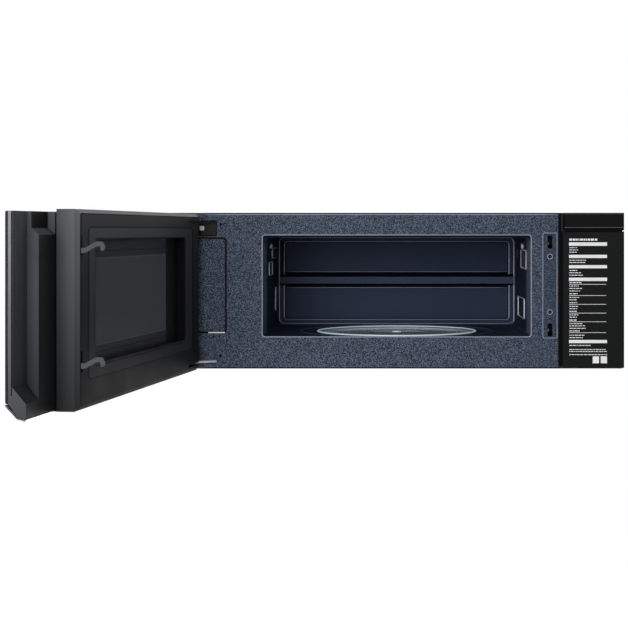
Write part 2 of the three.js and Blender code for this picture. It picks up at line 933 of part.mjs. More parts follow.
function plunger(hook) {
  const y0 = front + hookReach + 0.4;
  const stem = block(latchX - 2, latchX + 1, y0 + 0.6, front + 38.3, hook - 3, hook + 1);
  const tip = loftFront([
    [rect(latchX - 2, latchX + 1, hook - 3, hook + 1), y0 + 1],
    [rect(latchX - 1.4, latchX + 0.4, hook - 2.4, hook + 0.4), y0],
  ]);
  return joined(stem, tip);
}

// Pan-head screw with a cross recess, holding the latch body to the plate.
function latchScrew(z) {
  const seat = front + 2;
  const head = turned(
    [
      [0, 12],
      [1.7, 12],
      [1.7, 0],
      [4.2, 0],
      [4.2, -1],
      [3, -1.9],
      [0, -2.2],
    ],
    12,
  );
  const screw = head.rotate([-90, 0, 0]).translate([latchX, seat, z]);
  const slotWide = block(latchX - 2.2, latchX + 2.2, seat - 4, seat - 1.2, z - 0.5, z + 0.5);
  const slotTall = block(latchX - 0.5, latchX + 0.5, seat - 4, seat - 1.2, z - 2.2, z + 2.2);
  return screw.subtract(joined(slotWide, slotTall));
}

// ---- Hinges ----

// Arm, pin and backing pad; the arm comes through the plate and the pad is fixed behind it.
function hinge(armLow, pinEnd, padLow, padHigh) {
  const x = left + pivotU;
  const y = front + pivotY;
  const arm = [
    [x, y - armRadius],
    [x + armRadius * 0.7, y - armRadius * 0.7],
    [x + armRadius, y],
    [x + 16, y + 10],
    [armSlotRight - 0.5, front - 2],
    [armSlotRight - 0.5, plateBack + 1],
    [armSlotLeft + 0.5, plateBack + 1],
    [armSlotLeft + 0.5, front - 8],
    [x - armRadius, y],
    [x - armRadius * 0.7, y - armRadius * 0.7],
  ];
  const blade = upright(arm, armLow, armLow + armThick);
  const low = Math.min(pinEnd, armLow);
  const high = Math.max(pinEnd, armLow + armThick);
  const pin = upright(circle(x, y, pinRadius, 24), low, high);
  const pad = facing(rect(armSlotLeft - 6, armSlotRight + 5, padLow, padHigh), plateBack, plateBack + 2.5);
  return joined(blade, pin, pad);
}

// Buffer on the front plate, behind the frame of the shut door.
function doorBuffer() {
  const x = armSlotLeft + 32.25;
  const z = upperArm - 8;
  const square = (half) => roundRect(x - half, x + half, z - half, z + half, 1, 1);
  return facing(square(3.75), front - faceGap + 0.15, plateBack);
}

// ---- Door ----

// Deep pan behind the door: bevelled rim, slots for hooks and hinge arms, drawn well for the choke.
function doorFrame() {
  const face = -faceGap;
  const low = doorBottom;
  const section = (m) => rect(frameStart + m, frameEnd - m, low + m, frameTop - m);
  const bevelled = (m) => rect(frameStart + 6 + m, frameEnd - 6 - m, low + 6 + m, frameTop - 6 - m);
  let made = loftFront([
    [section(0), -frameDepth + slack],
    [section(0), face - 6],
    [bevelled(0), face],
  ]);
  const wellWall = facing(grown(chokeHole, frameSheet), -wellDepth - frameSheet, face - 0.5);
  made = made.subtract(
    loftFront([
      [section(frameSheet), -frameDepth - 1],
      [section(frameSheet), face - 6 - frameSheet * 0.6],
      [bevelled(frameSheet), face - frameSheet],
    ]),
  );
  made = made.add(wellWall);
  made = made.subtract(facing(grown(chokeHole, 0), -wellDepth, 1));
  made = made.subtract(facing(grown(chokeHole, -12), -wellDepth - 3, 1));
  for (const hook of [upperHook, lowerHook]) {
    made = made.subtract(block(keyU - 3.5, keyU + 4.5, -9, 1, hook - 12, hook + 13.5));
  }
  const lugOutline = roundRect(frameStart - 1.5, 26, pivotY - 8, -26, 3);
  const bore = circle(pivotU, pivotY, pinRadius + running, 24);
  const upperLug = upright(lugOutline, upperArm - 12.5, upperArm - 0.5, [bore]);
  const lowerLug = upright(lugOutline, lowerArm + armThick + slack, lowerArm + armThick + 12, [bore]);
  made = joined(made, upperLug, lowerLug);
  for (const arm of [upperArm, lowerArm]) {
    const slot = block(0, 78, pivotY - armRadius - 1, 1, arm - slack - 0.2, arm + armThick + slack);
    made = made.subtract(slot);
  }
  return made.add(block(chokeHole.u1 + 1, keyU - 2.9, -18, -3, -17.5, -16));
}

// Perforated screen seated in the frame's well, with a comb of choke fingers round it.
function screenPanel() {
  const y1 = slack + screenSheet - wellDepth;
  const y0 = y1 - screenSheet;
  let made = facing(grown(chokeHole, -1, 3), y0, y1);
  const comb = facing(grown(chokeHole, -6, 2), y1 - 0.5, y1 + 10);
  made = made.add(comb.subtract(facing(grown(chokeHole, -7, 2), y1 - 2, y1 + 12)));
  made = made.subtract(facing(grown(windowHole, -4, 2), y0 - 1, y0 + 0.4));
  const span = chokeHole.u1 - chokeHole.u0;
  const rise = chokeHole.z1 - chokeHole.z0;
  for (let i = 1; i < 10; i += 1) {
    const u = chokeHole.u0 + 10 + (i * (span - 20)) / 10;
    made = made.subtract(block(u - 1.5, u + 1.5, y1 + 1, y1 + 12, chokeHole.z0, chokeHole.z1));
  }
  for (let i = 1; i < 4; i += 1) {
    const z = chokeHole.z0 + 10 + (i * (rise - 20)) / 4;
    made = made.subtract(block(chokeHole.u0, chokeHole.u1, y1 + 1, y1 + 12, z - 1.5, z + 1.5));
  }
  return made;
}

function innerWindow() {
  return facing(grown(windowHole, 2.5, 2), -windowDepth - windowThick, -windowDepth);
}

// Plastic cover over the choke: a flat ring with a deep inner wall down to the window.
function chokeCover() {
  const face = -faceGap;
  const ring = facing(grown(chokeHole, -0.4), face - 1.5, face);
  const skirt = facing(grown(chokeHole, -0.4), face - 5, face - 1).subtract(
    facing(grown(chokeHole, -1.9), face - 6, face),
  );
  const wall = facing(grown(windowHole, 1.5), slack - windowDepth, face - 1);
  const hole = facing(grown(windowHole, 0), -windowDepth - 1, 1);
  return joined(ring, skirt, wall).subtract(hole);
}

// The line of the sloping control strip under the front, from the glass to the bottom edge.
const stripKnee = { y: 14.5 - doorThickness, z: doorBottom + 2.65 };
const stripOuter = [
  [-doorThickness, stripTop],
  [-doorThickness, stripTop - 1.5],
  [stripKnee.y, stripKnee.z],
  [-frameDepth - slack, doorBottom],
];
const stripInner = [
  [-frameDepth - slack, doorBottom + 2.2],
  [stripKnee.y + 0.8, stripKnee.z + 2.3],
  [2.4 - doorThickness, stripTop - 0.7],
  [2.4 - doorThickness, stripTop],
];

// Outer moulding of the door, with the pocket grip at the free end.
function doorShell() {
  const back = -frameDepth;
  const skin = glassThick + slack - doorThickness;
  const section = [
    [skin, stripTop + 1],
    [stripKnee.y + 0.6, stripKnee.z + 3.1],
    [back, doorBottom + 2.6],
    [back, doorTop - 2],
    [back - 2, doorTop],
    [skin, doorTop],
  ];
  let made = across(section, 0, bodyWidth);
  const hollow = [skin + shellSkin, back + 1, stripTop + 5, doorTop - 4.25];
  made = made.subtract(block(4, frameEnd - 4, ...hollow));
  made = made.subtract(facing(grown(windowHole, 0), skin - 1, back + 1));
  made = made.subtract(
    block(frameEnd + 4, gripStart, skin - 1, back - 2.5, stripTop + 6, doorTop - 33.25),
  );
  made = made.subtract(gripPocket());
  const barTop = [
    [back + 1, doorTop - 30.05],
    [back - 11, doorTop - 20.95],
    [back - 11, doorTop + 1],
    [back + 1, doorTop + 1],
  ];
  made = made.subtract(across(barTop, frameEnd, gripStart + 14));
  for (const arm of [upperArm, lowerArm]) {
    const slot = block(-1, 80, pivotY - armRadius - 1, back + 1, arm - 0.8, arm + armThick + 0.8);
    made = made.subtract(slot);
  }
  const lugRoom = [lowerArm + 2.25, lowerArm + 21.25];
  return made.subtract(block(frameStart - 4, 30, pivotY - 9, back + 1, ...lugRoom));
}

// Finger pocket: undercut beside the bar, open at the end and above, ramped at its foot.
function gripPocket() {
  const back = -frameDepth;
  const floor = back - 17.2;
  const over = doorTop + 2;
  return loftFront([
    [rect(gripStart + 11.6, bodyWidth + 2, stripTop - 0.1, over), back + 1],
    [rect(gripStart + 5, bodyWidth + 2, stripTop + 21.1, over), floor],
  ]);
}

function frontGlass() {
  const outline = (m) => roundRect(m, bodyWidth - m, stripTop + m, doorTop + 0.5 - m, 3.5 - m);
  return loftFront([
    [outline(0.5), glassThick - doorThickness],
    [outline(0.5), 0.6 - doorThickness],
    [outline(1.1), -doorThickness],
  ]);
}

// Sloping strip with the touch controls, wrapped under the door's lower front edge.
function controlStrip() {
  return across([...stripOuter, ...stripInner], 0, bodyWidth);
}

// Touch and display board on the back of the shell's skin, above the strip.
function displayBoard() {
  const y0 = glassThick + slack - doorThickness + shellSkin + slack;
  const z0 = stripTop + 7;
  const panel = facing(rect(250, 510, z0, z0 + 23), y0, y0 + 1.6);
  const display = block(350, 410, y0 + 1, y0 + 6, z0 + 3, z0 + 19);
  const chip = block(300, 318, y0 + 1, y0 + 3.5, z0 + 4, z0 + 15);
  const plug = block(450, 470, y0 + 1, y0 + 8, z0 + 3, z0 + 9);
  return joined(panel, display, chip, plug);
}

// One hook's outline: it rises from the key plate, runs back and turns down at its tip.
function hookOutline(hook) {
  return [
    [-16, hook - 8.5],
    [4, hook - 8.5],
    [19, hook],
    [24.5, hook + 0.5],
    [25.5, hook - 5.5],
    [30, hook - 5],
    [hookReach, hook],
    [28, hook + 6.5],
    [19, hook + 6.5],
    [4, hook - 1.5],
    [-16, hook - 1.5],
  ];
}

// Key: a plate that slides upright inside the door and carries both hooks.
function doorKey() {
  const spine = across(rect(-18, -6.2, lowerHook - 8.5, upperHook + 8), keyU, keyU + keyThick, [
    roundRect(-15, -9, -55, -25, 2.9),
    roundRect(-15, -9, 35, 65, 2.9),
  ]);
  const hooks = [upperHook, lowerHook].map((hook) =>
    across(hookOutline(hook), keyU, keyU + keyThick),
  );
  const springTab = block(keyU - 13.9, keyU + 1, -17, -12, 18, 19.5);
  return joined(spine, ...hooks, springTab);
}

// Coil that pulls the key down, from the key's tab to the frame's.
class Coil extends THREE.Curve {
  getPoint(t) {
    const turns = 6;
    const angle = 2 * Math.PI * turns * t;
    const z = THREE.MathUtils.lerp(-15, 17, t);
    return new THREE.Vector3(keyU - 8.9 + 3 * Math.cos(angle), -14.5 + 3 * Math.sin(angle), z);
  }
}

function keySpring() {
  const wire = new THREE.Shape(circle(0, 0, 0.6, 4).map(([a, b]) => new THREE.Vector2(a, b)));
  const options = { steps: 42, bevelEnabled: false, extrudePath: new Coil() };
  return solid(new THREE.ExtrudeGeometry(wire, options));
}

// ---- Underside pieces ----

// Grease filter: a framed pad whose mesh is a grid of pockets, with a finger tab.
function greaseFilter() {
  const z1 = bottom + filter.thick;
  const x0 = filter.x0 + slack;
  const x1 = filter.x1 - slack;
  const y0 = filter.y0 + slack;
  const y1 = filter.y1 - slack;
  let made = upright(roundRect(x0, x1, y0, y1, 3, 2), bottom, z1);
  const columns = 4;
  const rows = 5;
  const stepX = (x1 - x0 - 16) / columns;
  const stepY = (y1 - y0 - 30) / rows;
  for (let i = 0; i < columns; i += 1) {
    for (let k = 0; k < rows; k += 1) {
      const x = x0 + 8 + i * stepX;
      const y = y0 + 22 + k * stepY;
      made = made.subtract(block(x + 1.5, x + stepX - 1.5, y + 1.5, y + stepY - 1.5, bottom - 1, z1 - 3));
    }
  }
  const middle = (x0 + x1) / 2;
  const dip = roundRect(middle - 22, middle + 22, y0 + 5, y0 + 18, 5);
  made = made.subtract(upright(dip, bottom - 1, bottom + 5));
  return made.add(block(middle - 12, middle + 12, y0 + 4, y0 + 8, bottom, bottom + 2));
}

// Cooktop lamp: a lens in its hole, the flange that rests on the base and the finned back of the lamp.
function cooktopLamp() {
  const { x0, x1, y0, y1 } = lamp;
  const outline = roundRect(x0 + slack, x1 - slack, y0 + slack, y1 - slack, 3.7, 2);
  const lens = loftUp([
    [roundRect(x0 + 2, x1 - 2, y0 + 2, y1 - 2, 2, 2), bottom - 0.5],
    [outline, bottom + 1],
    [outline, baseTop + 1],
  ]);
  const flange = upright(roundRect(x0 - 4, x1 + 4, y0 - 4, y1 + 4, 5, 2), baseTop, baseTop + 1.5);
  let made = lens.add(flange);
  for (let i = 0; i < 7; i += 1) {
    const x = x0 + 3 + (i * (x1 - x0 - 8)) / 6;
    made = made.add(block(x, x + 2, y0 + 3, y1 - 3, baseTop + 1, baseTop + 12));
  }
  return made.add(block(x0 + 3, x1 - 3, y0 + 3, y1 - 3, baseTop + 1, baseTop + 5));
}

// ---- Vent blower ----

function blowerHousing() {
  const wall = 1.5;
  const throatRight = blower.y + blower.wheel + 36;
  const throatLeft = blower.y + 8;
  const throat = (m, z1) => rect(throatLeft - m, throatRight + m, blower.z, z1);
  const drum = (m) => across(scrollOutline(m), blower.x0 - m, blower.x1 + m);
  const outer = joined(drum(0), across(throat(0, caseInner), blower.x0, blower.x1));
  const inner = joined(drum(-wall), across(throat(-wall, caseInner + 1), blower.x0 + wall, blower.x1 - wall));
  const inlet = across(circle(blower.y, blower.z, blower.inlet, 24), blower.x0 - 5, blower.x1 + 5);
  return outer.subtract(inner).subtract(inlet);
}

// A spiral that opens from the tongue round to the throat, closed at the height of the tongue.
function scrollOutline(margin) {
  const points = [];
  const steps = 18;
  for (let i = 0; i <= steps; i += 1) {
    const share = i / steps;
    const angle = THREE.MathUtils.degToRad(90 + 270 * share);
    const radius = blower.wheel + 8 + 28 * share + margin;
    points.push([blower.y + radius * Math.cos(angle), blower.z + radius * Math.sin(angle)]);
  }
  points.push([blower.y + blower.wheel + 36 + margin, blower.z + blower.wheel + 8 + margin]);
  return points;
}

// Squirrel-cage wheel: a middle disc, two end rings, curved blades between them.
function blowerWheel() {
  const x0 = blower.x0 + 8;
  const x1 = blower.x1 - 8;
  const outer = blower.wheel;
  const inner = outer - 10;
  const ring = (a, b) => across(circle(0, 0, outer, 24), a, b, [circle(0, 0, inner, 24)]);
  const middle = (x0 + x1) / 2;
  let made = joined(ring(x0, x0 + 2), ring(x1 - 2, x1));
  made = made.add(across(circle(0, 0, outer - 1, 24), middle - 1, middle + 1));
  made = made.add(across(circle(0, 0, 8, 12), middle - 8, middle + 8));
  const blades = 12;
  for (let i = 0; i < blades; i += 1) {
    const turn = (360 * i) / blades;
    const blade = [
      [inner + 0.5, -0.6],
      [outer - 1.6, 2.2],
      [outer - 1.6, 3.6],
      [inner + 0.5, 0.8],
    ];
    made = made.add(across(blade, x0 + 1, x1 - 1).rotate([turn, 0, 0]));
  }
  made = made.add(rod([middle, 0, 0], [blower.x1 + 8, 0, 0], 3, 12));
  return made.translate([0, blower.y, blower.z]);
}

// Motor in the wheel's inlet, held to the housing's side by a three-armed bracket.
function blowerMotor() {
  const x0 = blower.x1;
  const can = turned(
    [
      [3 + running, 4],
      [20, 4],
      [26, 8],
      [26, 30],
      [22, 34],
      [0, 34],
      [0, 12],
      [3 + running, 12],
    ],
    16,
  ).rotate([0, 90, 0]);
  let made = can.translate([x0, 0, 0]);
  for (let i = 0; i < 3; i += 1) {
    const arm = across(roundRect(10, 58, -6, 6, 3, 1), x0, x0 + 2.5);
    const foot = across(rect(14, 25, -6, 6), x0, x0 + 12);
    made = made.add(joined(arm, foot).rotate([90 + i * 120, 0, 0]));
  }
  const shaftBore = across(circle(0, 0, 3 + running, 12), x0 - 1, x0 + 12);
  return made.subtract(shaftBore).translate([0, blower.y, blower.z]);
}

// ---- Right compartment ----

// Magnetron: yoke, cooling fins round the anode, filter box behind, antenna into the waveguide.
function magnetron() {
  const x0 = cavityOuter + waveguideDepth;
  const { y, z } = antenna;
  const frame = across(rect(y - 42, y + 42, z - 34, z + 34), x0, x0 + 56);
  const windowY = block(x0 + 3, x0 + 53, y - 50, y + 50, z - 31, z + 31);
  let made = frame.subtract(windowY);
  made = made.add(rod([x0 + 1, y, z], [x0 + 55, y, z], 19, 12));
  for (let i = 0; i < 4; i += 1) {
    const x = x0 + 13 + i * 9;
    made = made.add(block(x, x + 1, y - 38, y + 38, z - 31.5, z + 31.5));
  }
  made = made.add(rod([x0 - 22, y, z], [x0 + 2, y, z], antenna.radius, 12));
  made = made.add(across(roundRect(y - 26, y + 26, z - 22, z + 22, 4, 2), x0 + 55, x0 + 82));
  return made.add(block(x0 + 60, x0 + 74, y + 25, y + 38, z - 8, z + 8));
}

const transformer = { x0: right - 93.5, x1: right - 7.5, y: -62, z0: baseTop, z1: baseTop + 72 };

// Laminated core: two windows either side of the middle limb, feet with bolt holes.
function transformerCore() {
  const { x0, x1, y, z0, z1 } = transformer;
  const depth = 27;
  const windows = [
    rect(x0 + 14, x0 + 29, z0 + 18, z1 - 14),
    rect(x1 - 29, x1 - 14, z0 + 18, z1 - 14),
  ];
  const core = facing(rect(x0, x1, z0 + 3, z1), y - depth, y + depth, windows);
  const foot = upright(rect(x0, x1, y - depth - 12, y + depth + 12), z0, z0 + 3, [
    circle(x0 + 10, y - depth - 6, 2.5, 8),
    circle(x1 - 10, y - depth - 6, 2.5, 8),
    circle(x0 + 10, y + depth + 6, 2.5, 8),
    circle(x1 - 10, y + depth + 6, 2.5, 8),
  ]);
  return core.add(foot);
}

// A winding round the middle limb, between two heights.
function winding(z0, z1) {
  const { x0, x1, y } = transformer;
  const outer = roundRect(x0 + 14.5, x1 - 14.5, y - 40, y + 40, 9);
  const hole = rect(x0 + 28.7, x1 - 28.7, y - 27.3, y + 27.3);
  return upright(outer, z0, z1, [hole]);
}

// High-voltage capacitor: an oval can on its side in a strap, with two terminals.
function capacitor() {
  const x = right - 124.5;
  const body = facing(roundRect(x - 17, x + 17, baseTop, baseTop + 52, 16.9, 4), -118, -32);
  const terminals = [-1, 1].map((side) =>
    block(x + side * 7 - 3, x + side * 7 + 3, -128, -117, baseTop + 25, baseTop + 26),
  );
  return joined(body, ...terminals);
}

// Relay board on the inside of the compartment's front sheet, on four spacers.
function controlBoard() {
  const y0 = plateBack + sheet + 8;
  const board = facing(rect(right - 89.5, right - 11.5, bottom + 19, top - 39), y0, y0 + 1.6);
  let made = board;
  for (const x of [right - 85.5, right - 15.5]) {
    for (const z of [bottom + 23, top - 43]) {
      made = made.add(rod([x, y0 - 8, z], [x, y0 + 0.5, z], 3, 8));
    }
  }
  for (const z of [-90, -60, -30]) {
    made = made.add(block(right - 79.5, right - 59.5, y0 + 1, y0 + 16, z, z + 22));
  }
  made = made.add(block(right - 49.5, right - 17.5, y0 + 1, y0 + 24, -95, -60));
  made = made.add(rod([right - 34.5, y0 + 1, -35], [right - 34.5, y0 + 18, -35], 8, 12));
  for (const z of [10, 35, 60]) {
    made = made.add(block(right - 77.5, right - 29.5, y0 + 1, y0 + 9, z, z + 8));
  }
  return made;
}

// Frame of the cooling fan, fixed to the rear panel, with three struts behind the blades.
function fanFrame() {
  const { x, z, y0, y1: back, half, bore } = fan;
  const outline = roundRect(x - half, x + half, z - half, z + half, 5);
  let made = facing(outline, y0, back, [circle(x, z, bore, 24)]);
  for (const [dx, dz] of rect(7 - half, half - 7, 7 - half, half - 7)) {
    made = made.add(facing(circle(x + dx, z + dz, 5, 8), back - 1, rearInner));
  }
  for (let i = 0; i < 3; i += 1) {
    const strut = facing(rect(12, bore + 2, -2.5, 2.5), back - 3, back);
    made = made.add(strut.rotate([0, 30 + i * 120, 0]).translate([x, 0, z]));
  }
  const ring = facing(circle(x, z, 17, 14), back - 3, back, [circle(x, z, 11, 10)]);
  return made.add(ring);
}

function fanMotor() {
  const { x, z, y1: back } = fan;
  const can = turned(
    [
      [1.5 + running, -12],
      [14, -12],
      [15, -11],
      [15, 0],
      [0, 0],
      [0, -6],
      [1.5 + running, -6],
    ],
    20,
  ).rotate([-90, 0, 0]);
  return can.translate([x, back - 3, z]);
}

// Seven twisted blades on a cup-shaped hub.
function fanBlades() {
  const { x, z, y0, bore } = fan;
  const hub = turned(
    [
      [0, 10],
      [1.5, 10],
      [1.5, 1.5],
      [17.5, 1.5],
      [17.5, 20],
      [19, 20],
      [19, 2],
      [17, 0],
      [0, 0],
    ],
    14,
  ).rotate([-90, 0, 0]);
  let made = hub;
  for (let i = 0; i < 7; i += 1) {
    const blade = lofted(
      [
        [bladeSection(4, 15, 52), 18],
        [bladeSection(6, 15, 40), 32],
        [bladeSection(8, 14, 30), bore - 2],
      ],
      fromSide,
    );
    made = made.add(blade.translate([0, 10, 0]).rotate([0, (360 * i) / 7, 0]));
  }
  return made.translate([x, y0 + 1, z]);
}

// A thin slanted section in (Y, Z), its chord turned by an angle from the plane of rotation.
function bladeSection(reach, chord, degrees) {
  const angle = THREE.MathUtils.degToRad(degrees);
  const half = Math.min(chord / 2 + reach / 4, 9);
  const along = [Math.sin(angle) * half, Math.cos(angle) * half];
  const thick = [-Math.cos(angle) * 0.6, Math.sin(angle) * 0.6];
  return [
    [-along[0] - thick[0], -along[1] - thick[1]],
    [along[0] - thick[0], along[1] - thick[1]],
    [along[0] + thick[0], along[1] + thick[1]],
    [-along[0] + thick[0], -along[1] + thick[1]],
  ];
}

// Oven lamp beside the vents of the right wall, in its socket on the wall.
function ovenLamp() {
  const x0 = cavityOuter;
  const y = front + 255;
  const z = 40;
  const plate = across(roundRect(y - 20, y + 20, z - 16, z + 16, 4, 2), x0, x0 + 2);
  const socket = rod([x0 + 1, y, z], [x0 + 20, y, z], 11, 16);
  return joined(plate, socket, rod([x0 + 19, y, z], [x0 + 34, y, z], 8, 12));
}

// Charcoal cassette over the cavity, in the path to the front louvres.
function charcoalFilter() {
  const z0 = cavity.high + sheet;
  const body = upright(roundRect(-215, 45, front + 33, front + 143, 5, 2), z0, z0 + 14);
  let made = body;
  for (let i = 0; i < 9; i += 1) {
    const x = -206 + i * 27.5;
    made = made.subtract(block(x, x + 22, front + 41, front + 135, z0 + 9, z0 + 15));
  }
  return made;
}

// ---- Assembly ----

place("wall_bracket", wallBracket(), looks.zinc);
place("rear_panel", rearPanel(), looks.zinc);
place("rear_exhaust_cover", exhaustCover(), looks.zinc);
place("outer_case", outerCase(), looks.blackSteel);
place("cord_grommet", cordGrommet(), looks.blackPlastic);
place("base_panel", basePanel(), looks.blackSteel);
place("motor_access_plate", motorAccessPlate(), looks.blackSteel);
place("front_plate", frontPlate(), looks.enamel);
place("compartment_front", compartmentFront(), looks.blackSteel);
place("side_column", sideColumn(), looks.blackPlastic);
place("column_cap", columnCap(), looks.blackPlastic);
place("cavity_liner", cavityLiner(), looks.enamel);
place("waveguide_cover", waveguideCover(), looks.mica);
place("waveguide", waveguide(), looks.zinc);
place("magnetron", magnetron(), looks.aluminium);
place("oven_lamp", ovenLamp(), looks.whitePlastic);
place("turntable_motor", turntableMotor(), looks.zinc);
place("tray_coupler", trayCoupler(), looks.whitePlastic);
place("roller_ring", rollerRing(), looks.greyPlastic);
place("ring_roller_a", ringRoller(0), looks.whitePlastic);
place("ring_roller_b", ringRoller(1), looks.whitePlastic);
place("ring_roller_c", ringRoller(2), looks.whitePlastic);
place("glass_tray", glassTray(), looks.glass);
place("latch_body", latchBody(), looks.greyPlastic);
place("upper_switch", microswitch(upperHook), looks.blackPlastic);
place("lower_switch", microswitch(lowerHook), looks.blackPlastic);
place("upper_switch_button", plunger(upperHook), looks.whitePlastic);
place("lower_switch_button", plunger(lowerHook), looks.whitePlastic);
place("latch_screw_upper", latchScrew(latchScrews[0]), looks.zinc);
place("latch_screw_lower", latchScrew(latchScrews[1]), looks.zinc);
place("upper_hinge", hinge(upperArm, upperArm - 11.5, upperArm - 21.75, upperArm + 7.75), looks.zinc);
place("lower_hinge", hinge(lowerArm, lowerArm + 14, lowerArm - 6.75, lowerArm + 21.25), looks.zinc);
place("door_buffer", doorBuffer(), looks.whitePlastic);
place("left_grease_filter", mirrored(greaseFilter()), looks.aluminium);
place("right_grease_filter", greaseFilter(), looks.aluminium);
place("left_cooktop_lamp", mirrored(cooktopLamp()), looks.whitePlastic);
place("right_cooktop_lamp", cooktopLamp(), looks.whitePlastic);
place("charcoal_filter", charcoalFilter(), looks.carbon);
place("blower_housing", blowerHousing(), looks.zinc);
place("blower_wheel", blowerWheel(), looks.greyPlastic);
place("blower_motor", blowerMotor(), looks.iron);
place("transformer_core", transformerCore(), looks.iron);
place("primary_winding", winding(transformer.z0 + 18.5, transformer.z0 + 34), looks.copper);
place("secondary_winding", winding(transformer.z0 + 38, transformer.z1 - 14.5), looks.copper);
place("capacitor", capacitor(), looks.aluminium);
place("control_board", controlBoard(), looks.board);
place("fan_frame", fanFrame(), looks.blackPlastic);
place("fan_motor", fanMotor(), looks.iron);
place("fan_blades", fanBlades(), looks.greyPlastic);

placeOnDoor("door_frame", doorFrame(), looks.blackSteel);
placeOnDoor("screen_panel", screenPanel(), looks.blackSteel);
placeOnDoor("inner_window", innerWindow(), looks.darkGlass);
placeOnDoor("choke_cover", chokeCover(), looks.greyPlastic);
placeOnDoor("door_shell", doorShell(), looks.blackPlastic);
placeOnDoor("front_glass", frontGlass(), looks.darkGlass);
placeOnDoor("control_strip", controlStrip(), looks.brightTrim);
placeOnDoor("display_board", displayBoard(), looks.board);
placeOnDoor("door_key", doorKey(), looks.greyPlastic);
placeOnDoor("key_spring", keySpring(), looks.zinc);

export default root;
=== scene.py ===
import json
import math

import bmesh
import bpy
import numpy as np
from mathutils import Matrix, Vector


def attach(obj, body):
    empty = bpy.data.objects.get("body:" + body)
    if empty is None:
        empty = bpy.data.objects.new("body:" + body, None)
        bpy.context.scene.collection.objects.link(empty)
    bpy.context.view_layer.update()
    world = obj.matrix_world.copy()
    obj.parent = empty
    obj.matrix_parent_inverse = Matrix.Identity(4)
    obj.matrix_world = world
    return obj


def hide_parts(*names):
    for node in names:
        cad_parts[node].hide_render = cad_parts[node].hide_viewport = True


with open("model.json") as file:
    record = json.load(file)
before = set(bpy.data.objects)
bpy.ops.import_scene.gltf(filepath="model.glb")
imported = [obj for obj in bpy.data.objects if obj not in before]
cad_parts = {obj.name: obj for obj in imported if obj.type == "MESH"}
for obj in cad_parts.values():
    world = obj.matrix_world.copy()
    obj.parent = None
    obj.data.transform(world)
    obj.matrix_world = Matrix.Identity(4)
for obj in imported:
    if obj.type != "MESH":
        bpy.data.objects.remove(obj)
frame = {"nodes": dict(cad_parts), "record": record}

nodes = frame["nodes"]
slotOf = {piece["node"]: piece["material_slot"] for piece in frame["record"]["subparts"]}
bodyOf = {node: body for body, members in frame["record"]["behaviour"]["bodies"].items() for node in members}
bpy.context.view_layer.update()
print("loaded", len(nodes), "pieces of the frame")

# camera, fitted to the edges in the photograph
view = {"at": (-0.0005, -3.162, 0.1005), "lens": 93.94, "sensor": 36, "shift": (-0.1312, -0.1322)}

# hinge axis, in the body's x, y and in the shut door's u, v, and how far open the door stands
doorPivot = {"x": -0.3645, "y": -0.4423, "u": 0.015, "v": -0.0373, "open": math.radians(97)}

# faces that trims lie on: y of the plate, the column, the oven's back wall and the ribs' feet on it, x of its
# right wall, v of the door's inner side and of the grip's floor, and u of the door's free end
face = {"plate": -0.405, "column": -0.430, "backWall": -0.0265, "ribFoot": -0.0235, "sideWall": 0.2262,
        "doorInner": -0.0005, "grip": -0.0303, "doorEnd": 0.759}


def tone(red, green, blue):
    # screen colour, 0 to 255, to the linear light that the sockets take
    srgb = np.array([red, green, blue], float) / 255
    linear = np.where(srgb <= 0.04045, srgb / 12.92, ((srgb + 0.055) / 1.055) ** 2.4)
    return (*map(float, linear), 1.0)


def doorPoint(u, v, z):
    # a point of the shut door, u along it and v through it, turned about the hinge to where it stands
    c, s = math.cos(doorPivot["open"]), math.sin(doorPivot["open"])
    du, dv = u - doorPivot["u"], v - doorPivot["v"]
    x = doorPivot["x"] + du * c + dv * s
    y = doorPivot["y"] - du * s + dv * c
    return np.stack(np.broadcast_arrays(x, y, z), -1)


def shutPlace(x, y):
    # the way back: u and v in the shut door of points as the door stands
    c, s = math.cos(doorPivot["open"]), math.sin(doorPivot["open"])
    dx, dy = x - doorPivot["x"], y - doorPivot["y"]
    return doorPivot["u"] + dx * c - dy * s, doorPivot["v"] + dx * s + dy * c


# nodes that the shader groups and the finishes are made of

def addNode(tree, kind, inputs=(), **settings):
    # one node: its settings, then its inputs, each of them a plain value or the socket that feeds it
    node = tree.nodes.new(kind)
    for key, value in settings.items():
        setattr(node, key, value)
    for key, value in dict(inputs).items():
        if hasattr(value, "is_linked"):
            tree.links.new(value, node.inputs[key])
        else:
            node.inputs[key].default_value = value
    return node


def objectPlace(tree):
    return addNode(tree, "ShaderNodeTexCoord").outputs["Object"]


def doorPlace(tree):
    # object place turned into the shut door's own frame: x is u along it, y is v through it, z stays
    origin = (-doorPivot["x"], -doorPivot["y"], 0)
    shift = addNode(tree, "ShaderNodeVectorMath", {0: objectPlace(tree), 1: origin}, operation="ADD")
    turn = {"Vector": shift.outputs[0], "Rotation": (0, 0, doorPivot["open"]),
            "Location": (doorPivot["u"], doorPivot["v"], 0)}
    return addNode(tree, "ShaderNodeMapping", turn).outputs[0]


def axesOf(tree, place):
    return addNode(tree, "ShaderNodeSeparateXYZ", {"Vector": place}).outputs


def noiseNode(tree, place, scale, detail=2.0, roughness=0.5):
    settings = {"Vector": place, "Scale": scale, "Detail": detail, "Roughness": roughness}
    return addNode(tree, "ShaderNodeTexNoise", settings).outputs["Fac"]


def cellsNode(tree, place, scale, randomness=1.0):
    settings = {"Vector": place, "Scale": scale, "Randomness": randomness}
    return addNode(tree, "ShaderNodeTexVoronoi", settings).outputs


def splitColour(tree, colour):
    return addNode(tree, "ShaderNodeSeparateColor", {"Color": colour}).outputs


def mathNode(tree, operation, first, second, clamp=False):
    node = addNode(tree, "ShaderNodeMath", {0: first, 1: second}, operation=operation, use_clamp=clamp)
    return node.outputs[0]


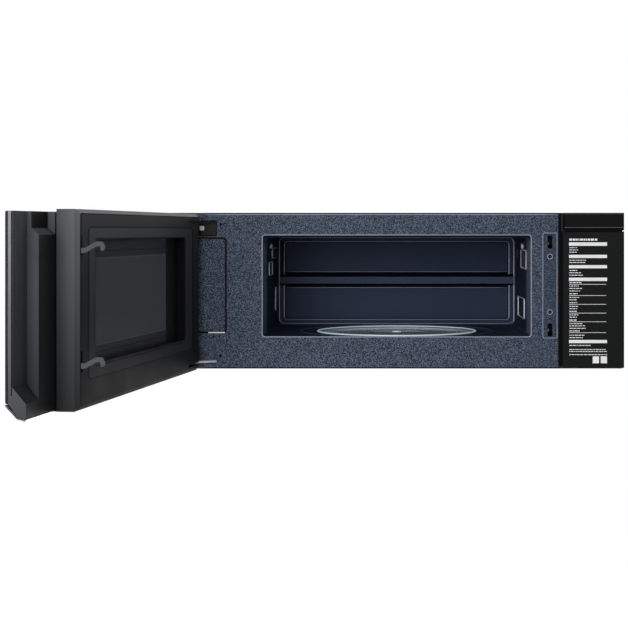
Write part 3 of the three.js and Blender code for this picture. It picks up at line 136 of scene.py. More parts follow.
def rangeNode(tree, value, low, high, start=0.0, end=1.0):
    # low to high becomes start to end, and stays there beyond them
    limits = {"Value": value, "From Min": low, "From Max": high, "To Min": start, "To Max": end}
    return addNode(tree, "ShaderNodeMapRange", limits).outputs["Result"]


def mixColours(tree, factor, first, second):
    return addNode(tree, "ShaderNodeMix", {0: factor, 6: first, 7: second}, data_type="RGBA").outputs[2]


def ramp(tree, source, stops):
    # a grey or a colour ramp, from two (place, grey) or (place, colour) pairs
    node = addNode(tree, "ShaderNodeValToRGB", {"Fac": source})
    for element, (place, colour) in zip(node.color_ramp.elements, stops):
        element.position = place
        element.color = colour if np.shape(colour) else (colour, colour, colour, 1)
    return node.outputs["Color"]


def boxMask(tree, place, x, z, blur=0.0006):
    # 1 inside the rectangle x by z, 0 outside, with an edge as wide as blur
    parts = axesOf(tree, place)
    inside = []
    for socket, (low, high) in ((parts["X"], x), (parts["Z"], z)):
        off = mathNode(tree, "ABSOLUTE", mathNode(tree, "SUBTRACT", socket, (low + high) / 2), 0)
        half = (high - low) / 2
        inside.append(rangeNode(tree, off, half + blur, half - blur))
    return mathNode(tree, "MULTIPLY", *inside)


# shader groups that several finishes share

def newGroup(name, inputs, outputs):
    # inputs are names with a colour or a number to start from; of the outputs, only Color is a colour
    group = bpy.data.node_groups.new(name, "ShaderNodeTree")
    for label, value in inputs.items():
        kind = "NodeSocketColor" if np.shape(value) else "NodeSocketFloat"
        group.interface.new_socket(name=label, in_out="INPUT", socket_type=kind).default_value = value
    for label in outputs:
        kind = "NodeSocketColor" if label == "Color" else "NodeSocketFloat"
        group.interface.new_socket(name=label, in_out="OUTPUT", socket_type=kind)
    return group, group.nodes.new("NodeGroupInput").outputs, group.nodes.new("NodeGroupOutput").inputs


# cloud: detail and roughness; drift: scale and detail
fleck = {"cloud": (2.0, 0.6), "cloudShare": 0.5, "drift": (9.0, 3.0), "driftShare": 0.25, "paleRise": 0.4,
         "pale": [(0.84, 0.0), (1.0, 0.85)], "dark": [(0.12, 0.8), (0.34, 0.0)]}


def flecksGroup():
    # baked enamel: pale and dark flecks strewn over a ground colour, with a faint orange peel
    inputs = {"Ground": (0.05, 0.07, 0.1, 1), "Pale Fleck": (0.2, 0.22, 0.26, 1),
              "Dark Fleck": (0.02, 0.02, 0.03, 1), "Fleck Scale": 700.0}
    group, enter, leave = newGroup("enamelFlecks", inputs, ("Color", "Height"))
    place = objectPlace(group)
    chance = splitColour(group, cellsNode(group, place, enter["Fleck Scale"])["Color"])
    cloud = noiseNode(group, place, enter["Fleck Scale"], *fleck["cloud"])
    blob = mathNode(group, "ADD", chance["Red"], mathNode(group, "MULTIPLY", cloud, fleck["cloudShare"]))
    pale = ramp(group, blob, fleck["pale"])
    dark = ramp(group, chance["Green"], fleck["dark"])
    drift = mathNode(group, "MULTIPLY", noiseNode(group, place, *fleck["drift"]), fleck["driftShare"])
    ground = mixColours(group, drift, enter["Ground"], enter["Dark Fleck"])
    colour = mixColours(group, dark, ground, enter["Dark Fleck"])
    group.links.new(mixColours(group, pale, colour, enter["Pale Fleck"]), leave["Color"])
    raised = mathNode(group, "MULTIPLY", pale, fleck["paleRise"])
    group.links.new(mathNode(group, "ADD", cloud, raised), leave["Height"])
    return group


# patch: scale, detail and roughness
coat = {"detail": 2.0, "grainShare": 0.45, "patch": (11.0, 4.0, 0.62), "patchShare": 0.55,
        "speck": [(0.34, 0.0), (0.66, 1.0)], "glossFrom": (0.3, 0.7)}


def grainGroup():
    # fine moulded or sprayed grain, with soft patches that shift the colour and the gloss a little
    inputs = {"Base": (0.1, 0.1, 0.1, 1), "Shade": (0.05, 0.05, 0.05, 1), "Grain Scale": 1500.0,
              "Low Gloss": 0.35, "High Gloss": 0.55}
    group, enter, leave = newGroup("surfaceGrain", inputs, ("Color", "Roughness", "Height"))
    place = objectPlace(group)
    fine = noiseNode(group, place, enter["Grain Scale"], coat["detail"])
    patch = noiseNode(group, place, *coat["patch"])
    both = mathNode(group, "ADD", mathNode(group, "MULTIPLY", fine, coat["grainShare"]),
                    mathNode(group, "MULTIPLY", patch, coat["patchShare"]))
    speck = ramp(group, both, coat["speck"])
    group.links.new(mixColours(group, speck, enter["Shade"], enter["Base"]), leave["Color"])
    gloss = rangeNode(group, patch, *coat["glossFrom"], enter["Low Gloss"], enter["High Gloss"])
    group.links.new(gloss, leave["Roughness"])
    group.links.new(fine, leave["Height"])
    return group


# painted shade down the door: the z and u ranges over which its finishes darken, and how steeply
paintedShadeRamp = {"z": (-0.125, 0.125), "u": (0.02, 0.30), "power": 2.0, "black": (0, 0, 0, 1)}


def paintedShadeGroup():
    # painted shade on the door's finishes: darker from the top to the foot, and a little towards the hinge
    inputs = {"Color": (0.1, 0.1, 0.1, 1), "Foot Level": 0.6, "Hinge Level": 0.9}
    group, enter, leave = newGroup("doorPaintedShade", inputs, ("Color",))
    parts = axesOf(group, doorPlace(group))
    down = rangeNode(group, parts["Z"], *paintedShadeRamp["z"], enter["Foot Level"])
    along = rangeNode(group, parts["X"], *paintedShadeRamp["u"], enter["Hinge Level"])
    level = mathNode(group, "POWER", mathNode(group, "MULTIPLY", down, along), paintedShadeRamp["power"])
    group.links.new(mixColours(group, level, paintedShadeRamp["black"], enter["Color"]), leave["Color"])
    return group


flecks = flecksGroup()
grain = grainGroup()
doorPaintedShade = paintedShadeGroup()
print("shader groups made")


def fleckLayer(tree, paint):
    # the flecks in the colours of one enamel
    values = {"Ground": paint["ground"], "Pale Fleck": paint["pale"], "Dark Fleck": paint["dark"],
              "Fleck Scale": paint["scale"]}
    return addNode(tree, "ShaderNodeGroup", values, node_tree=flecks).outputs


def grainLayer(tree, base, shade, scale, gloss):
    values = {"Base": base, "Shade": shade, "Grain Scale": scale, "Low Gloss": gloss[0],
              "High Gloss": gloss[1]}
    return addNode(tree, "ShaderNodeGroup", values, node_tree=grain).outputs


def withPaintedShade(tree, colour, levels):
    # painted shade: levels are what is left of the colour at the door's foot and at its hinge
    values = {"Color": colour, "Foot Level": levels[0], "Hinge Level": levels[1]}
    return addNode(tree, "ShaderNodeGroup", values, node_tree=doorPaintedShade).outputs["Color"]


# finishes

def newFinish(name, shine=0.5, sockets=()):
    # a material with one Principled shader; plain values are set on the shader's own sockets
    material = bpy.data.materials.new(name)
    material.use_nodes = True
    tree = material.node_tree
    shader = tree.nodes["Principled BSDF"].inputs
    shader["Specular IOR Level"].default_value = shine
    for key, value in dict(sockets).items():
        shader[key].default_value = value
    return material, tree, shader


def bumpInto(tree, shader, height, depth):
    bump = addNode(tree, "ShaderNodeBump", {"Height": height, "Strength": 1.0, "Distance": depth})
    tree.links.new(bump.outputs["Normal"], shader["Normal"])


def grained(name, base, shade, scale, gloss, depth=0.00003, shine=0.5, levels=None, sockets=()):
    # plain stuff with a fine grain: plastic, paint, rubber, cast or varnished metal, in two screen colours;
    # the levels are those of the door's painted shade
    material, tree, shader = newFinish(name, shine, sockets)
    layer = grainLayer(tree, tone(*base), tone(*shade), scale, gloss)
    colour = withPaintedShade(tree, layer["Color"], levels) if levels else layer["Color"]
    tree.links.new(colour, shader["Base Color"])
    tree.links.new(layer["Roughness"], shader["Roughness"])
    bumpInto(tree, shader, layer["Height"], depth)
    return material


zinc = {"crystals": 95.0, "rolled": (6.0, 40.0, 220.0), "streaks": 4.0, "share": 0.5,
        "gloss": [(0.0, 0.34), (1.0, 0.5)], "depth": 0.00004}


def spangled(name, bright, dull):
    # zinc-coated sheet: flat crystals of slightly different brightness, and rolled streaks
    material, tree, shader = newFinish(name, sockets={"Metallic": 1.0})
    place = objectPlace(tree)
    shade = splitColour(tree, cellsNode(tree, place, zinc["crystals"])["Color"])["Red"]
    rolled = addNode(tree, "ShaderNodeMapping", {"Vector": place, "Scale": zinc["rolled"]}).outputs[0]
    streaks = noiseNode(tree, rolled, zinc["streaks"])
    tint = mathNode(tree, "ADD", mathNode(tree, "MULTIPLY", shade, zinc["share"]),
                    mathNode(tree, "MULTIPLY", streaks, zinc["share"]))
    tree.links.new(mixColours(tree, tint, tone(*dull), tone(*bright)), shader["Base Color"])
    tree.links.new(ramp(tree, shade, zinc["gloss"]), shader["Roughness"])
    bumpInto(tree, shader, streaks, zinc["depth"])
    return material


plate = {"ground": tone(45, 54, 70), "pale": tone(110, 121, 142), "dark": tone(10, 15, 26), "scale": 1100.0,
         "strip": ((0.2461, 0.2697), (-0.0796, 0.0971)), "stripTone": tone(46, 54, 71), "stripShare": 0.4,
         "gloss": 0.5, "shine": 0.06, "depth": 0.00003}


def plateEnamel():
    # speckled enamel of the plate, with the calmer strip behind the door latches
    material, tree, shader = newFinish("plateEnamel", plate["shine"], {"Roughness": plate["gloss"]})
    layer = fleckLayer(tree, plate)
    share = mathNode(tree, "MULTIPLY", boxMask(tree, objectPlace(tree), *plate["strip"]), plate["stripShare"])
    tree.links.new(mixColours(tree, share, layer["Color"], plate["stripTone"]), shader["Base Color"])
    bumpInto(tree, shader, layer["Height"], plate["depth"])
    return material


throat = {"ground": tone(84, 95, 120), "pale": tone(160, 170, 192), "dark": tone(22, 28, 42), "scale": 1100.0,
          "deep": tone(42, 51, 70), "y": (-0.308, -0.296), "gloss": 0.5, "shine": 0.05, "depth": 0.00003}


def throatFinish():
    # oven side walls: speckled near the mouth like the plate, plain dark lining further in
    material, tree, shader = newFinish("throatEnamel", throat["shine"], {"Roughness": throat["gloss"]})
    layer = fleckLayer(tree, throat)
    inner = rangeNode(tree, axesOf(tree, objectPlace(tree))["Y"], *throat["y"])
    tree.links.new(mixColours(tree, inner, layer["Color"], throat["deep"]), shader["Base Color"])
    bumpInto(tree, shader, layer["Height"], throat["depth"])
    return material


screen = {"u": (0.170, 0.590), "z": (-0.053, 0.063), "pitch": 0.0019, "hole": (0.26, 0.34), "depth": 0.0001,
          "sheet": tone(150, 151, 158), "holes": tone(100, 101, 108), "margin": tone(104, 105, 110),
          "deep": tone(30, 31, 34), "deepTo": (0.165, 0.167), "gloss": 0.5, "shine": 0.2,
          "grooveShade": {"out": (0.016, 0.0112), "in": (0.012, 0.0098), "tone": tone(26, 27, 30)},
          "lip": {"out": (0.004, 0.0013), "tone": tone(178, 179, 186)}}


def screenBox(growU, growZ):
    # the viewing area grown by so much along u and z
    return (screen["u"][0] - growU, screen["u"][1] + growU), (screen["z"][0] - growZ, screen["z"][1] + growZ)


def screenFinish():
    # perforated sheet: even rows of round holes in the viewing area, with a painted highlight on a lip
    # and painted shade in a groove round it
    material, tree, shader = newFinish("perforatedScreen", screen["shine"], {"Roughness": screen["gloss"]})
    place = doorPlace(tree)
    hole = rangeNode(tree, cellsNode(tree, place, 1 / screen["pitch"], 0.0)["Distance"], *screen["hole"])
    holed = mixColours(tree, hole, screen["holes"], screen["sheet"])
    painted = screen["margin"]
    grooveShade, lip = screen["grooveShade"], screen["lip"]
    for grow, colour in ((grooveShade["out"], grooveShade["tone"]), (grooveShade["in"], screen["margin"]),
                         (lip["out"], lip["tone"]), ((0, 0), holed)):
        painted = mixColours(tree, boxMask(tree, place, *screenBox(*grow)), painted, colour)
    beyond = rangeNode(tree, axesOf(tree, place)["X"], *screen["deepTo"])
    tree.links.new(mixColours(tree, beyond, screen["deep"], painted), shader["Base Color"])
    bumpInto(tree, shader, hole, screen["depth"])
    return material


frontGlass = {"u": (0.105, 0.577), "z": (-0.074, 0.089), "blur": 0.0012, "pitch": 0.0019, "dot": (0.24, 0.34),
              "coat": tone(9, 9, 10), "see": tone(24, 24, 26), "dots": tone(13, 13, 14), "shine": 0.35,
              "smear": (14.0, 3.0), "gloss": [(0.35, 0.08), (0.7, 0.16)]}


def frontGlassFinish():
    # black-coated glass with a clearer viewing area, through which the dotted screen just shows
    material, tree, shader = newFinish("frontGlass", frontGlass["shine"])
    place = doorPlace(tree)
    cells = cellsNode(tree, place, 1 / frontGlass["pitch"], 0.0)
    dots = rangeNode(tree, cells["Distance"], *frontGlass["dot"])
    seen = mixColours(tree, dots, frontGlass["dots"], frontGlass["see"])
    inside = boxMask(tree, place, frontGlass["u"], frontGlass["z"], frontGlass["blur"])
    tree.links.new(mixColours(tree, inside, frontGlass["coat"], seen), shader["Base Color"])
    smear = noiseNode(tree, place, *frontGlass["smear"])
    tree.links.new(ramp(tree, smear, frontGlass["gloss"]), shader["Roughness"])
    return material


# painted sheen on the frame's free end, from dull to sheen across v, and the levels of the door's painted
# shade
frameEnd = {"v": (-0.030, -0.0005), "dull": tone(60, 61, 65), "sheen": tone(97, 98, 102), "scale": 1600.0,
            "gloss": (0.42, 0.55), "grainShare": 0.25, "shine": 0.1, "depth": 0.00004, "levels": (0.42, 1.0)}


def frameEndFinish():
    # the frame's free end: the same paint with a painted sheen, lighter towards the edge, under the door's
    # painted shade
    material, tree, shader = newFinish("frameEnd", frameEnd["shine"])
    sheenRamp = rangeNode(tree, axesOf(tree, doorPlace(tree))["Y"], *frameEnd["v"])
    sheenMix = mixColours(tree, sheenRamp, frameEnd["dull"], frameEnd["sheen"])
    layer = grainLayer(tree, frameEnd["sheen"], frameEnd["dull"], frameEnd["scale"], frameEnd["gloss"])
    colour = mixColours(tree, frameEnd["grainShare"], sheenMix, layer["Color"])
    tree.links.new(withPaintedShade(tree, colour, frameEnd["levels"]), shader["Base Color"])
    tree.links.new(layer["Roughness"], shader["Roughness"])
    bumpInto(tree, shader, layer["Height"], frameEnd["depth"])
    return material


expanded = {"angle": 34, "strands": {"Scale": 95.0, "Distortion": 0.6, "Detail": 1.0}, "gloss": 0.38,
            "depth": 0.0007, "tones": [(0.35, tone(70, 72, 75)), (0.8, tone(214, 216, 219))]}


def meshFinish():
    # layers of expanded aluminium: two slanting sets of strands that cross
    sockets = {"Metallic": 1.0, "Roughness": expanded["gloss"]}
    material, tree, shader = newFinish("filterMesh", sockets=sockets)
    sets = []
    for angle in (expanded["angle"], -expanded["angle"]):
        slant = {"Vector": objectPlace(tree), "Rotation": (0, 0, math.radians(angle))}
        turned = addNode(tree, "ShaderNodeMapping", slant).outputs[0]
        wave = addNode(tree, "ShaderNodeTexWave", {"Vector": turned, **expanded["strands"]})
        sets.append(wave.outputs["Fac"])
    strands = mathNode(tree, "MAXIMUM", *sets)
    tree.links.new(ramp(tree, strands, expanded["tones"]), shader["Base Color"])
    bumpInto(tree, shader, strands, expanded["depth"])
    return material


# finish of each material slot; a grained one gives two colours, grain scale, gloss range and bump depth
# on the door, the levels give its painted shade
finishes = {
    "zinc_steel": spangled("zincSheet", (178, 182, 186), (140, 144, 149)),
    "fin_aluminium": spangled("millAluminium", (214, 216, 218), (180, 183, 186)),
    "spring_steel": spangled("springWire", (150, 150, 150), (110, 110, 112)),
    "bright_strip": grained("brightStrip", (222, 223, 225), (196, 198, 201), 900.0, (0.18, 0.3), 0.00002,
                            sockets={"Metallic": 1.0}),
    "black_painted_steel": grained("blackPaint", (31, 32, 35), (26, 27, 30), 1300.0, (0.47, 0.53), 0.00007,
                                   shine=0.14),
    "door_painted_steel": grained("framePaint", (57, 58, 62), (45, 46, 50), 1600.0, (0.5, 0.62), 0.00004,
                                  shine=0.02, levels=(0.48, 0.86)),
    "black_plastic": grained("blackPlastic", (18, 19, 20), (14, 15, 16), 1900.0, (0.4, 0.55), 0.00004,
                             shine=0.06),
    "door_black_plastic": grained("doorPlastic", (86, 87, 91), (69, 70, 74), 1900.0, (0.5, 0.62), 0.00004,
                                  shine=0.02, levels=(0.66, 1.0)),
    "door_grey_plastic": grained("coverPlastic", (78, 79, 84), (65, 66, 71), 1800.0, (0.5, 0.62), 0.00004,
                                 shine=0.02, levels=(0.56, 0.8)),
    "grey_plastic": grained("greyPlastic", (112, 113, 117), (94, 95, 99), 1700.0, (0.3, 0.42), 0.00004,
                            shine=0.4),
    "white_plastic": grained("whitePlastic", (214, 214, 209), (198, 198, 192), 1500.0, (0.35, 0.5)),
    "black_rubber": grained("rubber", (26, 26, 26), (18, 18, 18), 900.0, (0.7, 0.85), 0.00008, shine=0.2),
    "mica_sheet": grained("mica", (92, 98, 110), (70, 77, 90), 420.0, (0.3, 0.6), 0.00005),
    "core_iron": grained("varnishedIron", (84, 86, 89), (58, 60, 63), 700.0, (0.4, 0.6), 0.0001,
                         sockets={"Metallic": 0.6}),
    "circuit_board": grained("boardLacquer", (44, 92, 60), (30, 70, 44), 260.0, (0.25, 0.4), 0.00005),
    "carbon_cassette": grained("charcoal", (44, 44, 44), (18, 18, 18), 330.0, (0.6, 0.9), 0.0006),
    "lamp_lens": grained("frostedLens", (226, 226, 216), (206, 206, 196), 800.0, (0.3, 0.42), 0.00005,
                         sockets={"Transmission Weight": 0.25}),
    "speckled_enamel": plateEnamel(),
    "screen_steel": screenFinish(),
    "winding_copper": grained("copperWire", (176, 112, 66), (132, 78, 42), 600.0, (0.3, 0.45), 0.0001,
                              sockets={"Metallic": 0.9}),
    "filter_mesh": meshFinish(),
    "front_dark_glass": frontGlassFinish(),
    "window_sheet": grained("tintedPane", (30, 31, 34), (26, 27, 30), 60.0, (0.12, 0.2), 0.0, shine=0.1,
                            sockets={"Alpha": 0.3}),
    "tray_glass": grained("trayGlass", (190, 218, 224), (176, 204, 211), 60.0, (0.1, 0.16), 0.0,
                          sockets={"IOR": 1.5, "Transmission Weight": 0.2}),
}

# finishes of single pieces and trims, some of them painted highlights, painted shade and a painted glow
lining = grained("liningEnamel", (49, 59, 81), (42, 51, 72), 500.0, (0.42, 0.54), shine=0.05)
liningShade = grained("liningShade", (13, 16, 22), (9, 11, 17), 500.0, (0.5, 0.6), shine=0.04)
# painted highlight on the front face of the back wall's ribs
liningStripHighlight = grained("liningStripHighlight", (66, 77, 102), (57, 67, 91), 500.0, (0.42, 0.54), shine=0.05)
# painted highlights on the rims round the oven's mouth and the latch strip, the plate's top edge and the
# latch screws
rimHighlight = grained("rimHighlightEnamel", (156, 164, 180), (136, 144, 162), 900.0, (0.3, 0.42), 0.00002, shine=0.4)
# painted highlights on the back wall's rims, the rib feet and the edge of the tray's well
liningRimHighlight = grained("liningRimHighlight", (104, 114, 136), (88, 98, 120), 900.0, (0.3, 0.42), 0.00002)
liningShine = grained("liningShine", (186, 192, 204), (164, 171, 186), 900.0, (0.3, 0.42), 0.00002)
guideShine = grained("guideShine", (232, 236, 244), (214, 219, 230), 900.0, (0.3, 0.42), 0.00002)
# dark joints and seams, also painted shade in slots and recesses
seamAndShadeDark = grained("seamShadow", (10, 10, 12), (7, 7, 9), 900.0, (0.6, 0.75), 0.00002, shine=0.05)
# painted shade: the dark faces deep in the door's grip pocket
pocketShade = grained("pocketShade", (18, 19, 21), (14, 15, 17), 1900.0, (0.42, 0.55), 0.00004, shine=0.04)
hingeSteel = grained("hingeSteel", (27, 26, 23), (19, 18, 16), 1200.0, (0.42, 0.55), 0.00004, shine=0.1)
# bright hinge metal, also the painted highlight on the control strip's wrapped end
hingeMetalAndEdgeHighlight = grained("hingeMetalAndEdgeHighlight", (186, 188, 192), (160, 162, 167), 1200.0, (0.3, 0.42),
                      sockets={"Metallic": 0.3})
endTrim = grained("endTrim", (146, 147, 151), (126, 127, 131), 1400.0, (0.4, 0.5), shine=0.1,
                  levels=(0.44, 1.0))
hookMetal = grained("hookMetal", (80, 81, 85), (61, 62, 66), 1200.0, (0.4, 0.5), shine=0.12)
bevelShine = grained("bevelShine", (84, 85, 88), (72, 73, 76), 1600.0, (0.4, 0.5), shine=0.2)
stripEnd = grained("stripEnd", (64, 65, 68), (54, 55, 58), 1400.0, (0.4, 0.5), shine=0.1)
footShade = grained("footShade", (46, 47, 50), (38, 39, 42), 1900.0, (0.5, 0.62), 0.00004, shine=0.02)
screwMetal = grained("screwMetal", (58, 64, 78), (44, 50, 63), 1200.0, (0.4, 0.5), shine=0.2)
capPlastic = grained("capPlastic", (11, 11, 12), (8, 8, 9), 1900.0, (0.42, 0.55), 0.00004, shine=0.05)
edgeSheen = grained("edgeSheen", (92, 93, 96), (76, 77, 80), 1200.0, (0.36, 0.48), 0.00002, shine=0.2)
# white print of the card, also the painted highlight along the foot of the recess by the hinge
printAndHighlightWhite = grained("printAndHighlightWhite", (247, 247, 247), (236, 236, 236), 1500.0, (0.5, 0.6), 0.0, shine=0.1)
# painted highlight: the tray's rim and middle mark glow a little though they are no lamp
trayRimGlow = grained("trayRimGlow", (240, 248, 250), (228, 240, 243), 300.0, (0.22, 0.3), 0.0,
                  sockets={"IOR": 1.5, "Emission Color": tone(214, 236, 244), "Emission Strength": 0.24})

own = {"latch_body": capPlastic, "column_cap": capPlastic, "cavity_liner": lining, "upper_hinge": hingeSteel,
       "lower_hinge": hingeMetalAndEdgeHighlight, "door_key": hookMetal, "latch_screw_upper": screwMetal,
       "latch_screw_lower": screwMetal}


def finishOf(node):
    return own.get(node, finishes[slotOf[node]])


for name, node in nodes.items():
    node.data.materials.clear()
    node.data.materials.append(finishOf(name))
print("finishes on", len(nodes), "nodes")


# surfaces from grids

def inScene(name, data):
    # an object for a mesh, a lamp or a camera, linked into the scene
    made = bpy.data.objects.new(name, data)
    bpy.context.scene.collection.objects.link(made)
    return made


def gridPiece(name, points, finish, body, closed=(True, True), caps=False):
    # points is an array of rows by columns by 3; closed joins the last row or column to the first, and caps
    # fills open ends
    rows, columns = points.shape[:2]
    index = np.arange(rows * columns).reshape(rows, columns)
    if closed[0]:
        index = np.vstack([index, index[:1]])
    if closed[1]:
        index = np.hstack([index, index[:, :1]])
    quads = np.stack([index[:-1, :-1], index[1:, :-1], index[1:, 1:], index[:-1, 1:]], -1).reshape(-1, 4)
    mesh = bpy.data.meshes.new(name)
    mesh.from_pydata(points.reshape(-1, 3).tolist(), [], quads.tolist())
    piece = inScene(name, mesh)
    made = bmesh.new()
    made.from_mesh(mesh)
    bmesh.ops.remove_doubles(made, verts=made.verts, dist=1e-7)
    if caps:
        bmesh.ops.holes_fill(made, edges=[edge for edge in made.edges if edge.is_boundary])
    bmesh.ops.recalc_face_normals(made, faces=made.faces)
    made.to_mesh(mesh)
    made.free()
    mesh.materials.append(finish)
    mesh.polygons.foreach_set("use_smooth", np.ones(len(mesh.polygons), bool))
    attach(piece, body)
    return piece


def circle(steps):
    # directions (cos t, sin t) round a full turn
    t = np.linspace(0, 2 * math.pi, steps, endpoint=False)
    return np.stack([np.cos(t), np.sin(t)], -1)


def roundedLoop(a0, a1, b0, b1, radius, steps=6):
    # rounded rectangle: four quarter circles of one radius, run anticlockwise; places and outward directions
    turns = np.radians(np.linspace(0, 90, steps))
    ring, away = [], []
    for corner, (a, b) in enumerate([(a1 - radius, b1 - radius), (a0 + radius, b1 - radius),
                                     (a0 + radius, b0 + radius), (a1 - radius, b0 + radius)]):
        swing = turns + corner * math.pi / 2
        out = np.stack([np.cos(swing), np.sin(swing)], -1)
        ring.append(np.array([a, b]) + radius * out)
        away.append(out)
    return np.concatenate(ring), np.concatenate(away)


def beadRound(loop, away, width, height, steps=7):
    # half-round bead on a face along a loop: across it the place moves outwards by width/2 cos t and rises by
    # height sin t; the last point joins the first along the face, so a bead is closed
    t = np.linspace(0, math.pi, steps)
    flat = loop[:, None] + away[:, None] * (np.cos(t) * width / 2)[None, :, None]
    rise = np.broadcast_to(np.sin(t) * height, flat.shape[:2])
    return flat, rise


def onPlate(flat, rise, y):
    # lays a flat pattern (x, z) with heights on a face that looks to the front, at depth y
    return np.stack([flat[..., 0], y - rise, flat[..., 1]], -1)


def onSide(flat, rise, x):
    # lays a flat pattern (y, z) with heights on the oven's side wall at x, which looks to the middle
    return np.stack([x - np.sign(x) * rise, flat[..., 0], flat[..., 1]], -1)


def onDoor(flat, rise, v):
    # lays a flat pattern (u, z) with heights on the door's inner side, at depth v
    return doorPoint(flat[..., 0], v + rise, flat[..., 1])


def onEnd(flat, rise, u):
    # lays a flat pattern (v, z) with heights on the door's free end, at u
    return doorPoint(u + rise, flat[..., 0], flat[..., 1])


def drawLoop(name, box, lay, level, body):
    # a bead round a rounded box on a face, dark if no finish is given; stretch widens it along either side
    loop, away = roundedLoop(*box["along"], *box["z"], box["radius"])
    flat, rise = beadRound(loop, away * box.get("stretch", (1.0, 1.0)), box["width"], box["height"])
    gridPiece(name, lay(flat, rise, level), box.get("finish", seamAndShadeDark), body)


def drawLine(name, line, lay, level, body):
    # a bead along a level or upright line on a face, closed at both ends, dark if no finish is given
    path = np.linspace(line["from"], line["to"], line.get("steps", 40))
    across = np.abs(path[-1] - path[0])[::-1]
    away = np.tile(across / across.max(), (len(path), 1))
    flat, rise = beadRound(path, away, line["width"], line["height"])
    gridPiece(name, lay(flat, rise, level), line.get("finish", seamAndShadeDark), body, (False, True), True)


def lathe(profile, centre, steps):
    # turns a profile of (radius, height) about an upright axis: x = r cos t, y = r sin t
    profile = np.asarray(profile, float)
    ring = circle(steps)
    x = centre[0] + profile[None, :, 0] * ring[:, :1]
    y = centre[1] + profile[None, :, 0] * ring[:, 1:]
    z = np.broadcast_to(centre[2] + profile[None, :, 1], x.shape)
    return np.stack([x, y, z], -1)


# pieces that are finished copies of a node

edges = {"angle": 28, "segments": 3, "merge": 1e-6, "flat": 0.5}


def softened(name, node, width):
    # a merged copy of a node's mesh whose sharp edges are rounded by a small bevel
    mesh = nodes[node].data.copy()
    mesh.name = name
    merged = bmesh.new()
    merged.from_mesh(mesh)
    bmesh.ops.remove_doubles(merged, verts=merged.verts, dist=edges["merge"])
    bmesh.ops.dissolve_limit(merged, angle_limit=math.radians(edges["flat"]), verts=merged.verts,
                             edges=merged.edges, delimit={"NORMAL"})
    merged.to_mesh(mesh)
    merged.free()
    mesh.materials.clear()
    mesh.materials.append(finishOf(node))
    piece = inScene(name, mesh)
    bevel = piece.modifiers.new("edges", "BEVEL")
    bevel.width = width
    bevel.segments = edges["segments"]
    bevel.limit_method = "ANGLE"
    bevel.angle_limit = math.radians(edges["angle"])
    bevel.use_clamp_overlap = True
    weighted = piece.modifiers.new("flatFaces", "WEIGHTED_NORMAL")
    weighted.mode = "FACE_AREA"
    weighted.weight = 100
    mesh.polygons.foreach_set("use_smooth", np.ones(len(mesh.polygons), bool))
    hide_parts(node)
    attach(piece, bodyOf[node])


rounded = {
    "outer_case": 0.0005, "front_plate": 0.0004, "side_column": 0.0007, "column_cap": 0.0007,
    "door_shell": 0.0008, "door_frame": 0.0005, "choke_cover": 0.0004, "front_glass": 0.0004,
    "control_strip": 0.0003, "door_key": 0.0004, "upper_hinge": 0.0003, "lower_hinge": 0.0003,
    "latch_body": 0.0004, "cavity_liner": 0.0004, "rear_panel": 0.0004, "base_panel": 0.0004,
    "wall_bracket": 0.0003,
}
for node, width in rounded.items():
    softened(node.replace("_", " ").title().replace(" ", "") + "Soft", node, width)
print("edges rounded on", len(rounded), "nodes")


def refinish(name, finish, ranges):
    # gives a second finish to the faces whose middle lies inside every range: y and z are the body's, side is
    # the distance from its middle, and u and v are the shut door's
    mesh = bpy.data.objects[name].data
    mesh.materials.append(finish)
    middle = np.empty(len(mesh.polygons) * 3)
    mesh.polygons.foreach_get("center", middle)
    x, y, z = middle.reshape(-1, 3).T
    u, v = shutPlace(x, y)
    measures = {"y": y, "z": z, "side": np.abs(x), "u": u, "v": v}
    inside = [(measures[key] > low) & (measures[key] < high) for key, (low, high) in ranges.items()]
    chosen = np.all(inside, 0)
    index = np.empty(len(mesh.polygons), np.int32)
    mesh.polygons.foreach_get("material_index", index)
    index[chosen] = len(mesh.materials) - 1
    mesh.polygons.foreach_set("material_index", index)
    print(name, "has", int(chosen.sum()), "faces of", finish.name)


far = 9.0
pocket = {"v": (-0.034, far), "u": (0.2, far)}
pocketTop = {"z": (0.106, far), "v": (-0.0425, -0.0405), "u": (0.652, far)}
pocketFoot = {"z": (-0.104, -0.094), "v": (-0.040, far), "u": (0.72, far)}
# painted shade in the grip pocket and along its top
refinish("DoorShellSoft", pocketShade, pocket)
refinish("DoorShellSoft", pocketShade, pocketTop)
refinish("DoorShellSoft", footShade, pocketFoot)
refinish("ControlStripSoft", stripEnd, {"u": (0.7585, far)})
refinish("DoorShellSoft", endTrim, {"u": (0.7585, far), "v": (-far, -0.036)})
refinish("DoorFrameSoft", frameEndFinish(), {"u": (0.6412, far), "v": (-far, -0.0006)})
refinish("DoorFrameSoft", bevelShine, {"z": (0.1245, far), "v": (-0.0044, -0.0020)})
# painted shade on the choke cover's faces deeper than its face: the walls round its window
refinish("ChokeCoverSoft", seamAndShadeDark, {"v": (-far, -0.0012)})

ribGroove = {"y": (-0.0312, -0.0238), "side": (-far, 0.224)}
refinish("CavityLinerSoft", liningShade, {**ribGroove, "z": (0.0132, 0.0222)})
refinish("CavityLinerSoft", liningShade, {**ribGroove, "z": (-0.0072, -0.0002)})
refinish("CavityLinerSoft", liningShade, {"y": (-0.4040, -0.4032)})
refinish("CavityLinerSoft", throatFinish(), {"side": (0.2258, 0.2267), "y": (-0.4, far)})
# painted highlight on the ribs' front face
refinish("CavityLinerSoft", liningStripHighlight, {"y": (-0.0318, -0.0312), "z": (0, 0.013)})


